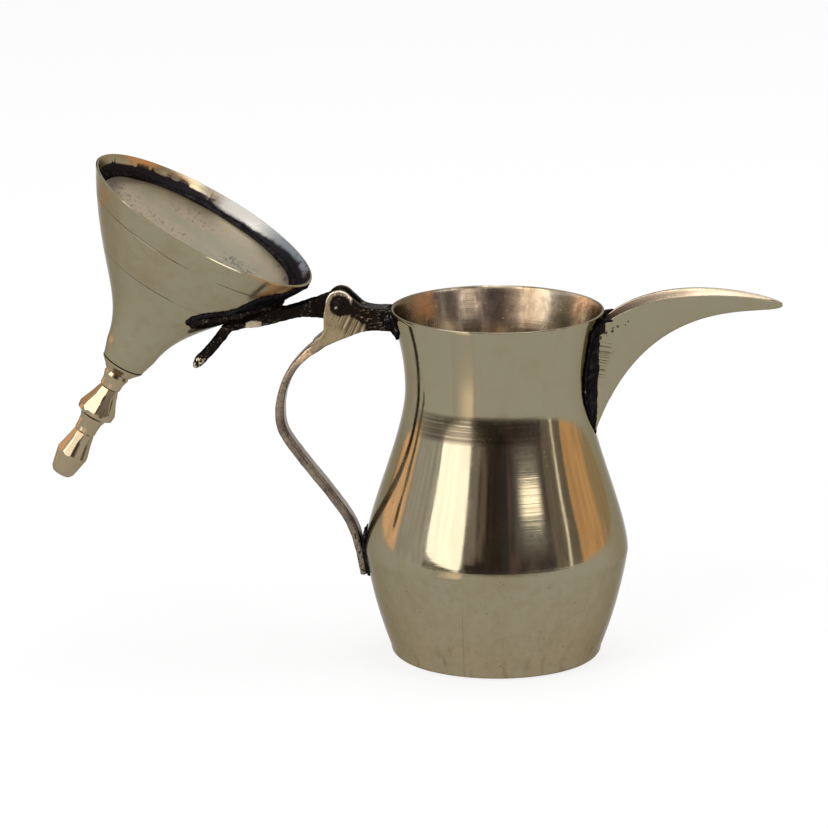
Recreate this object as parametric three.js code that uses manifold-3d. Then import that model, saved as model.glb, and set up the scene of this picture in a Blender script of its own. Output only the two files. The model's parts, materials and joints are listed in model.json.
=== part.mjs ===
// A small brass coffee pot: a spun, pot-bellied body, an open beak spout, a cast strap handle that
// carries two hinge ears, and a trumpet-shaped lid that swings back on a riveted pin.
//
// Millimetres, +Z up. The origin is the centre of the standing face, +X points to the spout and
// -X to the handle. The lid stands open, laid back against the stop between the hinge ears.
import * as THREE from 'three';
import { mergeVertices } from 'three/addons/utils/BufferGeometryUtils.js';
import Module from 'manifold-3d';

const wasm = await Module();
wasm.setup();

// Body: heights from the standing face, radii from the pot's axis.
const rimHeight = 91.4;
const rimRadius = 27.5;
const neckHeight = 71;
const neckRadius = 23.72;
const bellyHeight = 29.8;
const bellyRadius = 34.2;
const ridgeRounding = 1.9;
const footRadius = 27.4;
const footCorner = 2.4;
const wallAtRim = 0.9;
const wallAtFoot = 1.5;
const footLipWidth = 2.4;
const baseThickness = 2.2;

// Control points of the body's curves, as shares of the spans that they bridge.
const flankSwellShare = 0.67;
const shoulderRadiusShares = [0.93, -0.03];
const shoulderHeightShares = [0.23, 0.7];
const throatRadiusShares = [0, 0.48];
const throatHeightShares = [0.37, 0.67];

// Soldered joints: a thin bed of solder with a hair of room on both sides.
const seatGap = 0.15;
const solderThickness = 0.4;
const soldered = seatGap + solderThickness + seatGap;

// Pour holes through the body wall behind the spout.
const pourHoleRadius = 1.45;
const pourHoleSpread = 2.2;
const pourHoleStartShare = 0.225;
const pourHolePitchShare = 0.17;
const pourHolesPerRow = [1, 1, 2, 2, 2];

// Spout: an open trough whose two top edges sweep out to a pointed tip.
const spoutReach = 73.1;
const spoutTipRise = 3.05;
const spoutTipDepth = 0.75;
const spoutTipWidth = 0.9;
const spoutRootDrop = 3.2;
const spoutRootDepth = 28.9;
const spoutRootWidth = 10.5;
const spoutWall = 0.9;
const spoutRootOverrun = 8;
const edgeReachShares = [0.33, 1];
const edgeRiseShares = [0.5, 0.034];
const edgeWidthShares = [1.66, 0.38];
const keelReachShares = [0.273, 0.922];
const keelRiseShares = [1.362, -0.117];
const troughCurveShare = 0.72;
const tipFloorShare = 0.55;
const spoutSolderSpread = 2.3;

// Lid: heights from the plane of its lip, which closes a little above the pot's rim.
const lipClearance = 0.3;
const lipRadius = 31.6;
const lidHeight = 44;
const lidTopRadius = 5.8;
const lidWaistShare = 0.91;
const lidWaistRadius = 7;
const lidWall = 0.8;
const lidBowRadiusShares = [0.508, 0.078];
const lidBowHeightShares = [0.573, 0.681];
const lidDiscDepth = 4.2;
const lidDiscRadius = 26.6;
const lidDiscThickness = 0.8;
const lidSolderWidth = 1.2;

// Finial: a turned and facetted knob, held by a stud through a tapered collar.
const collarHeight = 3;
const collarTopRadius = 3.8;
const finialLength = 31.6;
const finialRadius = 5.1;
const studRadius = 1.3;
const studLength = 6.4;
const studHeadRadius = 2.4;
const studHeadHeight = 0.8;
const facetCount = 8;
const finialHeightShares = [0, 0.03, 0.08, 0.15, 0.22, 0.28, 0.345, 0.4, 0.425, 0.47, 0.53, 0.6, 0.665,
  0.73, 0.79, 0.81, 0.85, 0.91, 0.965, 0.99, 1];
const finialRadiusShares = [0.62, 0.72, 0.58, 0.545, 0.64, 0.79, 0.99, 0.96, 0.72, 0.6, 0.56, 0.56, 0.63,
  0.73, 0.83, 0.81, 0.76, 0.69, 0.61, 0.5, 0];
const facetStartShares = [0.15, 0.58];
const facetEndShares = [0.37, 0.8];
const facetStartRadiusShares = [0.5, 0.53];
const facetEndRadiusShares = [0.99, 0.87];

// Hinge: the pin lies behind the lip, level with the closed lid.
const pinSetback = 9;
const pinAboveLip = 0.8;
const pinRadius = 1.25;
const pinClearance = 0.1;
const rivetHeadRadius = 1.6;
const rivetHeadHeight = 0.4;
const openAngle = 150.5;
const earRadius = 3.45;
const earSpan = 7.8;
const knuckleRadius = 3.4;
const knuckleWidth = 3.4;
const knuckleRoom = 0.4;
const heelDrop = 4.4;
const slotSideRoom = 0.3;

// Handle casting: a web below the ears, a bar to the rim, and a strap down to the belly.
const handleReach = 56.3;
const handleWaistShare = 0.638;
const strapWidth = 4.8;
const strapThickness = 1.9;
const strapTopThickness = 1.5;
const footWidth = 6.4;
const footLength = 11.5;
const footBottom = 20.2;
const footThickness = 1.8;
const barTopDrop = 0.35;
const barHeight = 5.9;
const barWidth = 6;
const cutOverrun = 6;

// Lid arm: a bar from the knuckle to a forked saddle on the lid's flank, with a thumb tail.
const armWidth = 4.8;
const tailLength = 14.6;
const tailThickness = 2.7;
const tailWidth = 4.4;
const saddleThickness = 0.9;
const saddleLength = 31;
const saddleHalfWidth = 16;

// Smoothness of the turned pieces.
const bodySides = 52;
const lidSides = 44;
const smallSides = 24;

const mergeReach = 1e-4;
const degree = Math.PI / 180;
const lidSeatHeight = rimHeight + lipClearance;
const pinReach = lipRadius + pinSetback;
const pinHeight = lidSeatHeight + pinAboveLip;
const standRadius = footRadius - footCorner;
const spoutRootHeight = rimHeight - spoutRootDrop;
const spoutTipHeight = rimHeight + spoutTipRise;
const keelFootHeight = spoutRootHeight - spoutRootDepth;

const point = (x, y) => new THREE.Vector2(x, y);
const space = (x, y, z) => new THREE.Vector3(x, y, z);
const mix = THREE.MathUtils.lerp;

// A closed mesh becomes a solid: shared vertices are merged, flat slivers dropped, and the faces
// turned so that they point out.
function solid(geometry) {
  geometry.deleteAttribute('normal');
  geometry.deleteAttribute('uv');
  const merged = mergeVertices(geometry, mergeReach);
  const places = merged.attributes.position.array;
  const faces = [];
  let volume = 0;
  const corner = (index) => new THREE.Vector3().fromArray(places, 3 * index);
  for (let i = 0; i < merged.index.count; i += 3) {
    const [a, b, c] = merged.index.array.slice(i, i + 3);
    if (a === b || b === c || c === a) continue;
    faces.push(a, b, c);
    volume += corner(a).dot(corner(b).cross(corner(c)));
  }
  if (volume < 0) faces.reverse();
  return new wasm.Manifold(new wasm.Mesh({
    numProp: 3,
    vertProperties: new Float32Array(places),
    triVerts: new Uint32Array(faces),
  }));
}

// Back from a solid to a mesh for the scene graph.
function skinOf(body) {
  const mesh = body.getMesh();
  const geometry = new THREE.BufferGeometry();
  geometry.setAttribute('position', new THREE.BufferAttribute(new Float32Array(mesh.vertProperties), 3));
  geometry.setIndex(new THREE.BufferAttribute(new Uint32Array(mesh.triVerts), 1));
  geometry.computeVertexNormals();
  return geometry;
}

// A turned piece: the profile holds radius and height, and spins about the vertical.
function turned(profile, sides) {
  return solid(new THREE.LatheGeometry(profile, sides).rotateX(90 * degree));
}

// A plate cut to a side view: the outline lies in X and Z, and the width in Y.
function plate(outline, width) {
  const cut = new THREE.ExtrudeGeometry(outline, { depth: width, bevelEnabled: false, curveSegments: 8 });
  return solid(cut.rotateX(90 * degree).translate(0, width / 2, 0));
}

// A round bar along Y.
function crossBar(radius, length, x, z) {
  return solid(new THREE.CylinderGeometry(radius, radius, length, smallSides).translate(x, 0, z));
}

// A curved bar seen from the side, with a thickness that follows the share of its length.
function strip(curve, steps, thicknessAt) {
  const near = [];
  const far = [];
  for (let i = 0; i <= steps; i += 1) {
    const at = curve.getPointAt(i / steps);
    const along = curve.getTangentAt(i / steps);
    const half = thicknessAt(i / steps) / 2;
    near.push(point(at.x - along.y * half, at.y + along.x * half));
    far.unshift(point(at.x + along.y * half, at.y - along.x * half));
  }
  return new THREE.Shape([...near, ...far]);
}

// Points along a chain of curves that meet end to end.
function chain(...links) {
  return links.flatMap(([curve, steps], i) => curve.getPoints(steps).slice(i ? 1 : 0));
}

// A profile moved out along its own normals; a profile runs upwards, so out is to its right.
function grown(profile, distanceAt) {
  return profile.map((at, i) => {
    const before = profile[Math.max(i - 1, 0)];
    const after = profile[Math.min(i + 1, profile.length - 1)];
    const along = after.clone().sub(before).normalize();
    const distance = distanceAt(at.y);
    return point(at.x + along.y * distance, at.y - along.x * distance);
  });
}

// Every second point of a profile and its last one, enough for a surface that is seen from inside.
function thinned(profile) {
  return profile.filter((at, i) => i % 2 === 0 || i === profile.length - 1);
}

// The radius of a profile at a height.
function radiusAt(profile, height) {
  const next = profile.findIndex((at) => at.y >= height);
  if (next <= 0) return profile[0].x;
  const low = profile[next - 1];
  const high = profile[next];
  return mix(low.x, high.x, (height - low.y) / (high.y - low.y));
}

// The filled form inside a profile, grown by an even distance and run on past both ends.
function filled(profile, distance, sides) {
  const skin = grown(profile, () => distance);
  const first = skin[0];
  const last = skin[skin.length - 1];
  const bottom = first.y - cutOverrun;
  const top = last.y + cutOverrun;
  const under = [point(0, bottom), point(first.x, bottom)];
  const over = [point(last.x, top), point(0, top)];
  return turned([...under, ...skin, ...over], sides);
}

// A layer that lies on a profile's outside, from one distance to another.
function layer(profile, from, to, sides) {
  const outside = grown(profile, () => to);
  const inside = grown(profile, () => from).reverse();
  return turned([...outside, ...inside, outside[0]], sides);
}

// Outer profile of the pot, from the standing ring up to the rim.
function bodyProfile() {
  const ridgeLow = bellyHeight - ridgeRounding;
  const ridgeHigh = bellyHeight + ridgeRounding;
  const swell = mix(footRadius, bellyRadius, flankSwellShare);
  const corner = new THREE.QuadraticBezierCurve(
    point(standRadius, 0), point(footRadius, 0), point(footRadius, footCorner),
  );
  const flank = new THREE.QuadraticBezierCurve(
    point(footRadius, footCorner), point(swell, ridgeLow / 2), point(bellyRadius, ridgeLow),
  );
  const shoulder = new THREE.CubicBezierCurve(
    point(bellyRadius, ridgeHigh),
    point(
      mix(neckRadius, bellyRadius, shoulderRadiusShares[0]),
      mix(ridgeHigh, neckHeight, shoulderHeightShares[0]),
    ),
    point(
      mix(neckRadius, bellyRadius, shoulderRadiusShares[1]),
      mix(ridgeHigh, neckHeight, shoulderHeightShares[1]),
    ),
    point(neckRadius, neckHeight),
  );
  const throat = new THREE.CubicBezierCurve(
    point(neckRadius, neckHeight),
    point(
      mix(neckRadius, rimRadius, throatRadiusShares[0]),
      mix(neckHeight, rimHeight, throatHeightShares[0]),
    ),
    point(
      mix(neckRadius, rimRadius, throatRadiusShares[1]),
      mix(neckHeight, rimHeight, throatHeightShares[1]),
    ),
    point(rimRadius, rimHeight),
  );
  const ridge = new THREE.LineCurve(point(bellyRadius, ridgeLow), point(bellyRadius, ridgeHigh));
  return chain([corner, 3], [flank, 4], [ridge, 1], [shoulder, 10], [throat, 7]);
}

// Outer profile of the lid, from the lip up to the flat top that carries the collar.
function lidProfile() {
  const waistHeight = lidHeight * lidWaistShare;
  const bell = new THREE.CubicBezierCurve(
    point(lipRadius, 0),
    point(mix(lidWaistRadius, lipRadius, lidBowRadiusShares[0]), waistHeight * lidBowHeightShares[0]),
    point(mix(lidWaistRadius, lipRadius, lidBowRadiusShares[1]), waistHeight * lidBowHeightShares[1]),
    point(lidWaistRadius, waistHeight),
  );
  const top = new THREE.LineCurve(point(lidWaistRadius, waistHeight), point(lidTopRadius, lidHeight));
  return chain([bell, 12], [top, 1]);
}

const pot = bodyProfile();
const bell = lidProfile();
const lipInside = standRadius - footLipWidth;

// The spun body, open at the bottom for the base disc and pierced behind the spout.
function bodyShell() {
  const wallAt = (height) => mix(wallAtFoot, wallAtRim, height / rimHeight);
  const inside = thinned(grown(pot, (height) => -wallAt(height)).filter((at) => at.y > footCorner));
  inside[inside.length - 1].y = rimHeight;
  const profile = [...pot, ...inside.reverse(), point(lipInside, wallAtFoot), point(lipInside, 0), pot[0]];
  let shell = turned(profile, bodySides);
  pourHolesPerRow.forEach((count, row) => {
    const height = keelFootHeight + (pourHoleStartShare + row * pourHolePitchShare) * spoutRootDepth;
    for (let i = 0; i < count; i += 1) {
      const side = (2 * i - (count - 1)) * pourHoleSpread;
      shell = shell.subtract(pourDrill(side, height));
    }
  });
  return shell;
}

function pourDrill(side, height) {
  const drill = new THREE.CylinderGeometry(pourHoleRadius, pourHoleRadius, neckRadius, smallSides / 2);
  return solid(drill.rotateZ(90 * degree).translate(neckRadius, side, height));
}

function baseDisc() {
  const radius = lipInside - soldered;
  const top = baseThickness;
  return turned([point(0, 0), point(radius, 0), point(radius, top), point(0, top)], bodySides);
}

function baseSolder() {
  const inner = lipInside - seatGap - solderThickness;
  const outer = lipInside - seatGap;
  const low = seatGap;
  const high = wallAtFoot;
  const bed = [point(inner, low), point(outer, low), point(outer, high), point(inner, high)];
  return turned([...bed, bed[0]], bodySides);
}

// The upper edge and the keel of the spout, each one sweep from the body to the tip. Grow widens
// the trough, and lift raises its edges.
function spoutSweeps(grow, lift) {
  const edgeRoot = radiusAt(pot, spoutRootHeight);
  const keelRoot = radiusAt(pot, keelFootHeight);
  const edgeAt = (reachShare, widthShare, height) => space(
    mix(edgeRoot, spoutReach, reachShare), widthShare * spoutRootWidth / 2 + grow, height + lift,
  );
  const keelAt = (reachShare, height) => space(mix(keelRoot, spoutReach, reachShare), 0, height - grow);
  const keelTip = spoutTipHeight - spoutTipDepth;
  const edge = new THREE.CubicBezierCurve3(
    edgeAt(0, 1, spoutRootHeight),
    edgeAt(edgeReachShares[0], edgeWidthShares[0], spoutRootHeight + edgeRiseShares[0] * spoutRootDepth),
    edgeAt(edgeReachShares[1], edgeWidthShares[1], spoutTipHeight + edgeRiseShares[1] * spoutRootDepth),
    edgeAt(1, spoutTipWidth / spoutRootWidth, spoutTipHeight),
  );
  const keel = new THREE.CubicBezierCurve3(
    keelAt(0, keelFootHeight),
    keelAt(keelReachShares[0], keelFootHeight + keelRiseShares[0] * spoutRootDepth),
    keelAt(keelReachShares[1], keelTip + keelRiseShares[1] * spoutRootDepth),
    keelAt(1, keelTip),
  );
  return { edge, keel };
}

// One cross-section of the trough from edge to keel to edge; the first one lies inside the body.
function troughSection(sweeps, share, rootShift, wall) {
  const edge = sweeps.edge.getPoint(share);
  const keel = sweeps.keel.getPoint(share);
  edge.x -= rootShift;
  keel.x -= rootShift;
  const depth = edge.clone().setY(0).distanceTo(keel);
  const floor = keel.clone().lerp(edge.clone().setY(0), Math.min(tipFloorShare, wall / depth));
  const halfWidth = Math.max(edge.y - wall, edge.y * (1 - tipFloorShare));
  const steps = 6;
  const section = [];
  for (let i = -steps; i <= steps; i += 1) {
    const height = Math.abs(i / steps) ** 1.5;
    const at = floor.clone().lerp(edge.clone().setY(0), height);
    section.push(at.setY(Math.sign(i) * halfWidth * height ** troughCurveShare));
  }
  return section;
}

// Skin a run of closed rings that are each made of an outer and an inner line of equal length.
function loftedTrough(outers, inners) {
  const rings = outers.map((outer, i) => [...outer, ...inners[i].slice().reverse()]);
  const count = rings[0].length;
  const half = count / 2;
  const places = rings.flat().flatMap((at) => at.toArray());
  const faces = [];
  const quad = (a, b, c, d) => faces.push(a, b, c, a, c, d);
  for (let r = 0; r < rings.length - 1; r += 1) {
    for (let i = 0; i < count; i += 1) {
      const j = (i + 1) % count;
      quad(r * count + i, r * count + j, (r + 1) * count + j, (r + 1) * count + i);
    }
  }
  const end = (rings.length - 1) * count;
  for (let i = 0; i < half - 1; i += 1) {
    quad(i, count - 1 - i, count - 2 - i, i + 1);
    quad(end + i, end + i + 1, end + count - 2 - i, end + count - 1 - i);
  }
  const geometry = new THREE.BufferGeometry();
  geometry.setAttribute('position', new THREE.Float32BufferAttribute(places, 3));
  geometry.setIndex(faces);
  return solid(geometry);
}

// The trough between two wall depths; a wall so deep that it fills the section gives a full form.
function trough(grow, lift, innerWall) {
  const sweeps = spoutSweeps(grow, lift);
  const shares = [0, 0, 0.06, 0.12, 0.19, 0.27, 0.36, 0.45, 0.54, 0.63, 0.72, 0.81, 0.89, 0.95, 1];
  const shiftAt = (i) => (i ? 0 : spoutRootOverrun);
  const outers = shares.map((share, i) => troughSection(sweeps, share, shiftAt(i), 0));
  const inners = shares.map((share, i) => troughSection(sweeps, share, shiftAt(i), innerWall));
  return innerWall ? loftedTrough(outers, inners) : loftedTrough(outers, outers.map(toppedOver));
}

// The straight line across the top of a section, which closes it into a full form.
function toppedOver(section) {
  const first = section[0];
  const last = section[section.length - 1];
  return section.map((at, i) => first.clone().lerp(last, i / (section.length - 1)));
}

function spout() {
  return trough(0, 0, spoutWall).subtract(filled(pot, soldered, bodySides));
}

function spoutSolder() {
  const bed = layer(pot, seatGap, seatGap + solderThickness, bodySides);
  const wide = trough(spoutSolderSpread, spoutSolderSpread, 0);
  const channel = trough(-spoutWall, 2 * spoutSolderSpread, 0);
  return bed.intersect(wide).subtract(channel);
}

// Side view of the web: an arch round the pin, a drop to the strap, and the bar to the rim.
function webOutline() {
  const barTop = lidSeatHeight - barTopDrop;
  const barFoot = barTop - barHeight;
  const web = new THREE.Shape();
  web.absarc(-pinReach, pinHeight, earRadius, 180 * degree, 35 * degree, true);
  web.splineThru([
    point(-pinReach + 1.25 * earRadius, barTop + 0.32 * barHeight),
    point(-pinReach + 1.6 * earRadius, barTop + 0.15 * barHeight),
    point(-pinReach + 2 * earRadius, barTop + 0.04 * barHeight),
    point(-lipRadius, barTop),
  ]);
  web.lineTo(-neckRadius, barTop);
  web.lineTo(-neckRadius, barFoot);
  web.lineTo(-rimRadius, barFoot);
  web.splineThru([
    point(-pinReach + 2.85 * earRadius, barFoot),
    point(-pinReach + 1.7 * earRadius, barFoot - 0.06 * barHeight),
    point(-pinReach + 0.4 * earRadius, barFoot - 0.35 * barHeight),
    point(-pinReach - 0.85 * earRadius, barFoot - 0.65 * barHeight),
    point(-pinReach - 1.65 * earRadius, barFoot - 0.95 * barHeight),
  ]);
  web.lineTo(-pinReach - 2.15 * earRadius, barFoot - 0.65 * barHeight);
  web.splineThru([
    point(-pinReach - 1.65 * earRadius, barFoot - 0.38 * barHeight),
    point(-pinReach - 1.2 * earRadius, barFoot - 0.1 * barHeight),
    point(-pinReach - 1.13 * earRadius, barFoot + 0.35 * barHeight),
    point(-pinReach - 1.15 * earRadius, barFoot + 0.7 * barHeight),
    point(-pinReach - earRadius, pinHeight),
  ]);
  return web;
}

// Centre line of the strap, from inside the web, out to the waist of the hand hold, and down to
// the foot that lies on the belly.
function strapLine() {
  const seat = (height) => -radiusAt(pot, height) - soldered - footThickness / 2;
  const top = lidSeatHeight - barTopDrop - 1.85 * barHeight;
  const footTop = footBottom + footLength;
  const span = (share) => mix(footTop, top, share);
  const out = (share) => mix(-seat(footTop), handleReach, share);
  return new THREE.SplineCurve([
    point(-pinReach - 1.4 * earRadius, span(1.02)),
    point(-pinReach - 2.48 * earRadius, span(0.965)),
    point(-out(0.835), span(0.88)),
    point(-out(0.955), span(0.77)),
    point(-handleReach, span(handleWaistShare)),
    point(-out(0.948), span(0.53)),
    point(-out(0.74), span(0.4)),
    point(-out(0.405), span(0.22)),
    point(-out(0.139), span(0.06)),
    point(seat(footBottom + 0.65 * footLength), footBottom + 0.65 * footLength),
    point(seat(footBottom), footBottom),
  ]);
}

function strapThicknessAt(share) {
  if (share < 0.35) return mix(strapTopThickness, strapThickness, share / 0.35);
  return mix(strapThickness, footThickness, (share - 0.35) / 0.65);
}

// Widths of the casting as seen along X: ears, strap and foot, half of it mirrored.
function handleFront() {
  const earFoot = pinHeight - 2.6 * earRadius;
  const strapTop = earFoot - 2.2 * earRadius;
  const footTop = footBottom + footLength;
  const half = [
    point(earSpan / 2, pinHeight + 2 * earRadius),
    point(earSpan / 2, earFoot),
    point(strapWidth / 2, strapTop),
    point(strapWidth / 2, footTop + footLength / 2),
    point(footWidth / 2, footTop - footLength / 3),
    point(footWidth / 2, footBottom - cutOverrun),
  ];
  const mirrored = half.map((at) => point(-at.x, at.y)).reverse();
  return new THREE.Shape([...half, ...mirrored]);
}

// Widths of the bar as seen from above, narrower between the ears and the rim.
function handleTop() {
  const half = [
    point(-handleReach - cutOverrun, earSpan / 2),
    point(-pinReach + 1.2 * earRadius, earSpan / 2),
    point(-pinReach + 2.6 * earRadius, barWidth / 2),
    point(-neckRadius, earSpan / 2),
  ];
  const mirrored = half.map((at) => point(at.x, -at.y)).reverse();
  return new THREE.Shape([...half, ...mirrored]);
}

// Room for the knuckle between the ears, with the ledge that stops the arm when the lid is open
// and a way over the bar for the arm when the lid is closed.
function knuckleSlot() {
  const room = knuckleRadius + knuckleRoom;
  const ledge = pinHeight - heelDrop - slotSideRoom;
  const slot = new THREE.Shape();
  slot.absarc(-pinReach, pinHeight, room, -18 * degree, -98 * degree, true);
  slot.lineTo(-pinReach - 0.6 * room, ledge);
  slot.lineTo(-pinReach - 3 * room, ledge);
  slot.lineTo(-pinReach - 3 * room, pinHeight + 2 * room);
  slot.lineTo(-lipRadius, pinHeight + 2 * room);
  slot.lineTo(-lipRadius, lidSeatHeight - barTopDrop);
  return plate(slot, knuckleWidth + 2 * slotSideRoom);
}

function handle() {
  const widest = earSpan + 2 * cutOverrun;
  const side = plate(webOutline(), widest).add(plate(strip(strapLine(), 26, strapThicknessAt), widest));
  const tall = pinHeight + cutOverrun;
  const above = solid(new THREE.ExtrudeGeometry(handleTop(), { depth: tall, bevelEnabled: false }));
  const front = new THREE.ExtrudeGeometry(handleFront(), { depth: handleReach, bevelEnabled: false });
  front.rotateX(90 * degree).rotateZ(90 * degree);
  front.computeBoundingBox();
  front.translate(-handleReach - cutOverrun - front.boundingBox.min.x, 0, 0);
  return side
    .intersect(above)
    .intersect(solid(front))
    .subtract(knuckleSlot())
    .subtract(crossBar(pinRadius + pinClearance, widest, -pinReach, pinHeight))
    .subtract(filled(pot, soldered, bodySides));
}

// Solder laid over the end of the bar, spread along the pot under the rim.
function handleRimSolder() {
  const middle = lidSeatHeight - barTopDrop - 0.6 * barHeight;
  const spread = new THREE.SphereGeometry(1, smallSides, smallSides / 2);
  spread.scale(barHeight, 2 * barWidth, 0.72 * barHeight).translate(-rimRadius, 0, middle);
  const bed = layer(pot, seatGap, seatGap + solderThickness, bodySides);
  return bed.intersect(solid(spread));
}

function handleFootSolder() {
  const bed = layer(pot, seatGap, seatGap + solderThickness, bodySides);
  const pad = new THREE.BoxGeometry(bellyRadius, footWidth + solderThickness, footLength);
  const middle = footBottom + solderThickness + footLength / 2;
  return bed.intersect(solid(pad.translate(-bellyRadius, 0, middle)));
}

// The rivet: a pin through ears and knuckle, its ends hammered to low domes.
function hingePin() {
  const half = earSpan / 2 + seatGap;
  const profile = [
    point(0, -half - rivetHeadHeight),
    point(0.6 * rivetHeadRadius, -half - 0.8 * rivetHeadHeight),
    point(rivetHeadRadius, -half),
    point(pinRadius, -half),
    point(pinRadius, half),
    point(rivetHeadRadius, half),
    point(0.6 * rivetHeadRadius, half + 0.8 * rivetHeadHeight),
    point(0, half + rivetHeadHeight),
  ];
  const pin = new THREE.LatheGeometry(profile, smallSides);
  return solid(pin.translate(-pinReach, 0, pinHeight));
}

// Lid pieces, in the closed lid's frame: the lip circle's centre at the origin.
function lidShell() {
  const inside = grown(bell, () => -lidWall);
  const open = thinned(inside).filter((at) => at.y > 0 && at.y < lidHeight - lidWall);
  const bore = studRadius + seatGap;
  const top = radiusAt(inside, lidHeight - lidWall);
  const profile = [
    ...bell,
    point(bore, lidHeight),
    point(bore, lidHeight - lidWall),
    point(top, lidHeight - lidWall),
    ...open.reverse(),
    point(lipRadius - lidWall, 0),
    bell[0],
  ];
  return turned(profile, lidSides);
}

function lidDisc() {
  const top = lidDiscDepth + lidDiscThickness;
  return turned([
    point(0, lidDiscDepth), point(lidDiscRadius, lidDiscDepth), point(lidDiscRadius, top), point(0, top),
  ], lidSides);
}

// The black ring of solder in the corner between the disc and the bell.
function lidDiscSolder() {
  const inside = thinned(grown(bell, () => -lidWall - seatGap));
  const low = lidDiscDepth - lidDiscThickness / 2;
  const high = lidDiscDepth + lidDiscThickness;
  const inner = lidDiscRadius + seatGap;
  const ring = [
    point(inner, lidDiscDepth),
    point(Math.min(inner + lidSolderWidth, radiusAt(inside, low)), low),
    point(radiusAt(inside, low), low),
    point(radiusAt(inside, high), high),
    point(inner, high),
  ];
  return turned([...ring, ring[0]], lidSides);
}

function finialCollar() {
  const low = lidHeight + seatGap;
  const high = lidHeight + collarHeight;
  const bore = studRadius + seatGap;
  const ring = [
    point(bore, low),
    point(lidTopRadius, low),
    point(0.96 * lidTopRadius, mix(low, high, 0.25)),
    point(0.78 * lidTopRadius, mix(low, high, 0.6)),
    point(collarTopRadius, high),
    point(bore, high),
  ];
  return turned([...ring, ring[0]], smallSides);
}

// A facetted sleeve: everything outside an eight-sided taper between two heights.
function facetCut(low, high, lowRadius, highRadius) {
  const depth = high - low;
  const middle = (low + high) / 2;
  const slope = (highRadius - lowRadius) / 2;
  const ring = new THREE.CylinderGeometry(2 * finialRadius, 2 * finialRadius, depth, smallSides);
  const long = new THREE.CylinderGeometry(highRadius + slope, lowRadius - slope, 2 * depth, facetCount);
  const sleeve = solid(ring.rotateX(90 * degree)).subtract(solid(long.rotateX(90 * degree)));
  return sleeve.translate([0, 0, middle]);
}

// The knob is turned first, then flats are filed on the flare below each bulge.
function finial() {
  const base = lidHeight + collarHeight + seatGap;
  const stud = base - studLength;
  const profile = [
    point(0, stud - studHeadHeight),
    point(studHeadRadius, stud - studHeadHeight),
    point(studHeadRadius, stud),
    point(studRadius, stud),
    point(studRadius, base),
    ...finialHeightShares.map((share, i) => point(
      finialRadiusShares[i] * finialRadius, base + share * finialLength,
    )),
  ];
  let knob = turned(profile, smallSides);
  facetStartShares.forEach((share, i) => {
    knob = knob.subtract(facetCut(
      base + share * finialLength,
      base + facetEndShares[i] * finialLength,
      facetStartRadiusShares[i] * finialRadius,
      facetEndRadiusShares[i] * finialRadius,
    ));
  });
  return knob;
}

const pinX = -pinReach;

// Side view of the arm with the lid closed: knuckle, bar, and a root that runs into the bell.
function armOutline() {
  const at = (xShare, zShare) => point(pinX + xShare * pinSetback, pinAboveLip + zShare * pinSetback);
  const heel = pinAboveLip + heelDrop;
  const arm = new THREE.Shape();
  arm.absarc(pinX, pinAboveLip, knuckleRadius, 110 * degree, 345 * degree, false);
  arm.splineThru([at(0.7, 0.32), at(1.08, 0.77), at(1.3, 0.99)]);
  arm.lineTo(at(1.9, 1.3).x, at(1.9, 1.3).y);
  arm.lineTo(at(2.75, 2.35).x, at(2.75, 2.35).y);
  arm.lineTo(at(2.3, 2.4).x, at(2.3, 2.4).y);
  arm.splineThru([
    at(2.04, 2.11), at(1.55, 1.74), at(1.07, 1.25), at(0.76, 0.96), at(0.46, 0.77), at(0.2, 0.68),
  ]);
  arm.lineTo(pinX + 0.01 * pinSetback, heel + 0.08 * pinSetback);
  return arm;
}

// The thumb tail stands up beside the bell and ends in a rounded tip.
function tailOutline() {
  const root = point(pinX + 2.4 * pinSetback, pinAboveLip + 2.2 * pinSetback);
  const tip = point(root.x + 0.18 * tailLength, root.y + tailLength);
  const bend = point(root.x + 0.02 * tailLength, mix(root.y, tip.y, 0.4));
  const line = new THREE.QuadraticBezierCurve(root, bend, tip);
  const rounding = (share) => Math.sqrt(Math.max(0.12, 1 - Math.max(0, (share - 0.88) / 0.12) ** 2));
  return strip(line, 16, (share) => tailThickness * rounding(share));
}

// Plan of the forked saddle, looking square on to the bell's flank: shares of its length from the
// lip, and of its half width. Two lobes are swept along the flank, with the tail between them.
const saddleRunShares = [0.29, 0.3, 0.33, 0.41, 0.51, 0.65, 0.76, 0.86, 0.94, 1, 0.94, 0.85, 0.76, 0.7,
  0.67, 0.66];
const saddleWidthShares = [0, 0.3, 0.55, 0.73, 0.86, 0.91, 0.97, 0.99, 0.95, 0.88, 0.85, 0.83, 0.85, 0.76,
  0.45, 0];

// The black solder reaches further towards the lip, and ends along the lobes.
const flowRunShares = [0.03, 0.04, 0.16, 0.27, 0.37, 0.53, 0.66, 0.76, 0.86, 0.96, 1.02, 0.94, 0.84, 0.75,
  0.7, 0.69];
const flowWidthShares = [0, 0.53, 0.78, 1, 1.06, 0.99, 0.97, 1.03, 1.03, 0.97, 0.85, 0.81, 0.79, 0.8,
  0.5, 0];

function saddlePlan(runShares, widthShares) {
  const half = runShares.map((share, i) => point(share * saddleLength, widthShares[i] * saddleHalfWidth));
  const mirrored = half.slice(1, -1).map((at) => point(at.x, -at.y)).reverse();
  return new THREE.Shape([...half, ...mirrored]);
}

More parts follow.
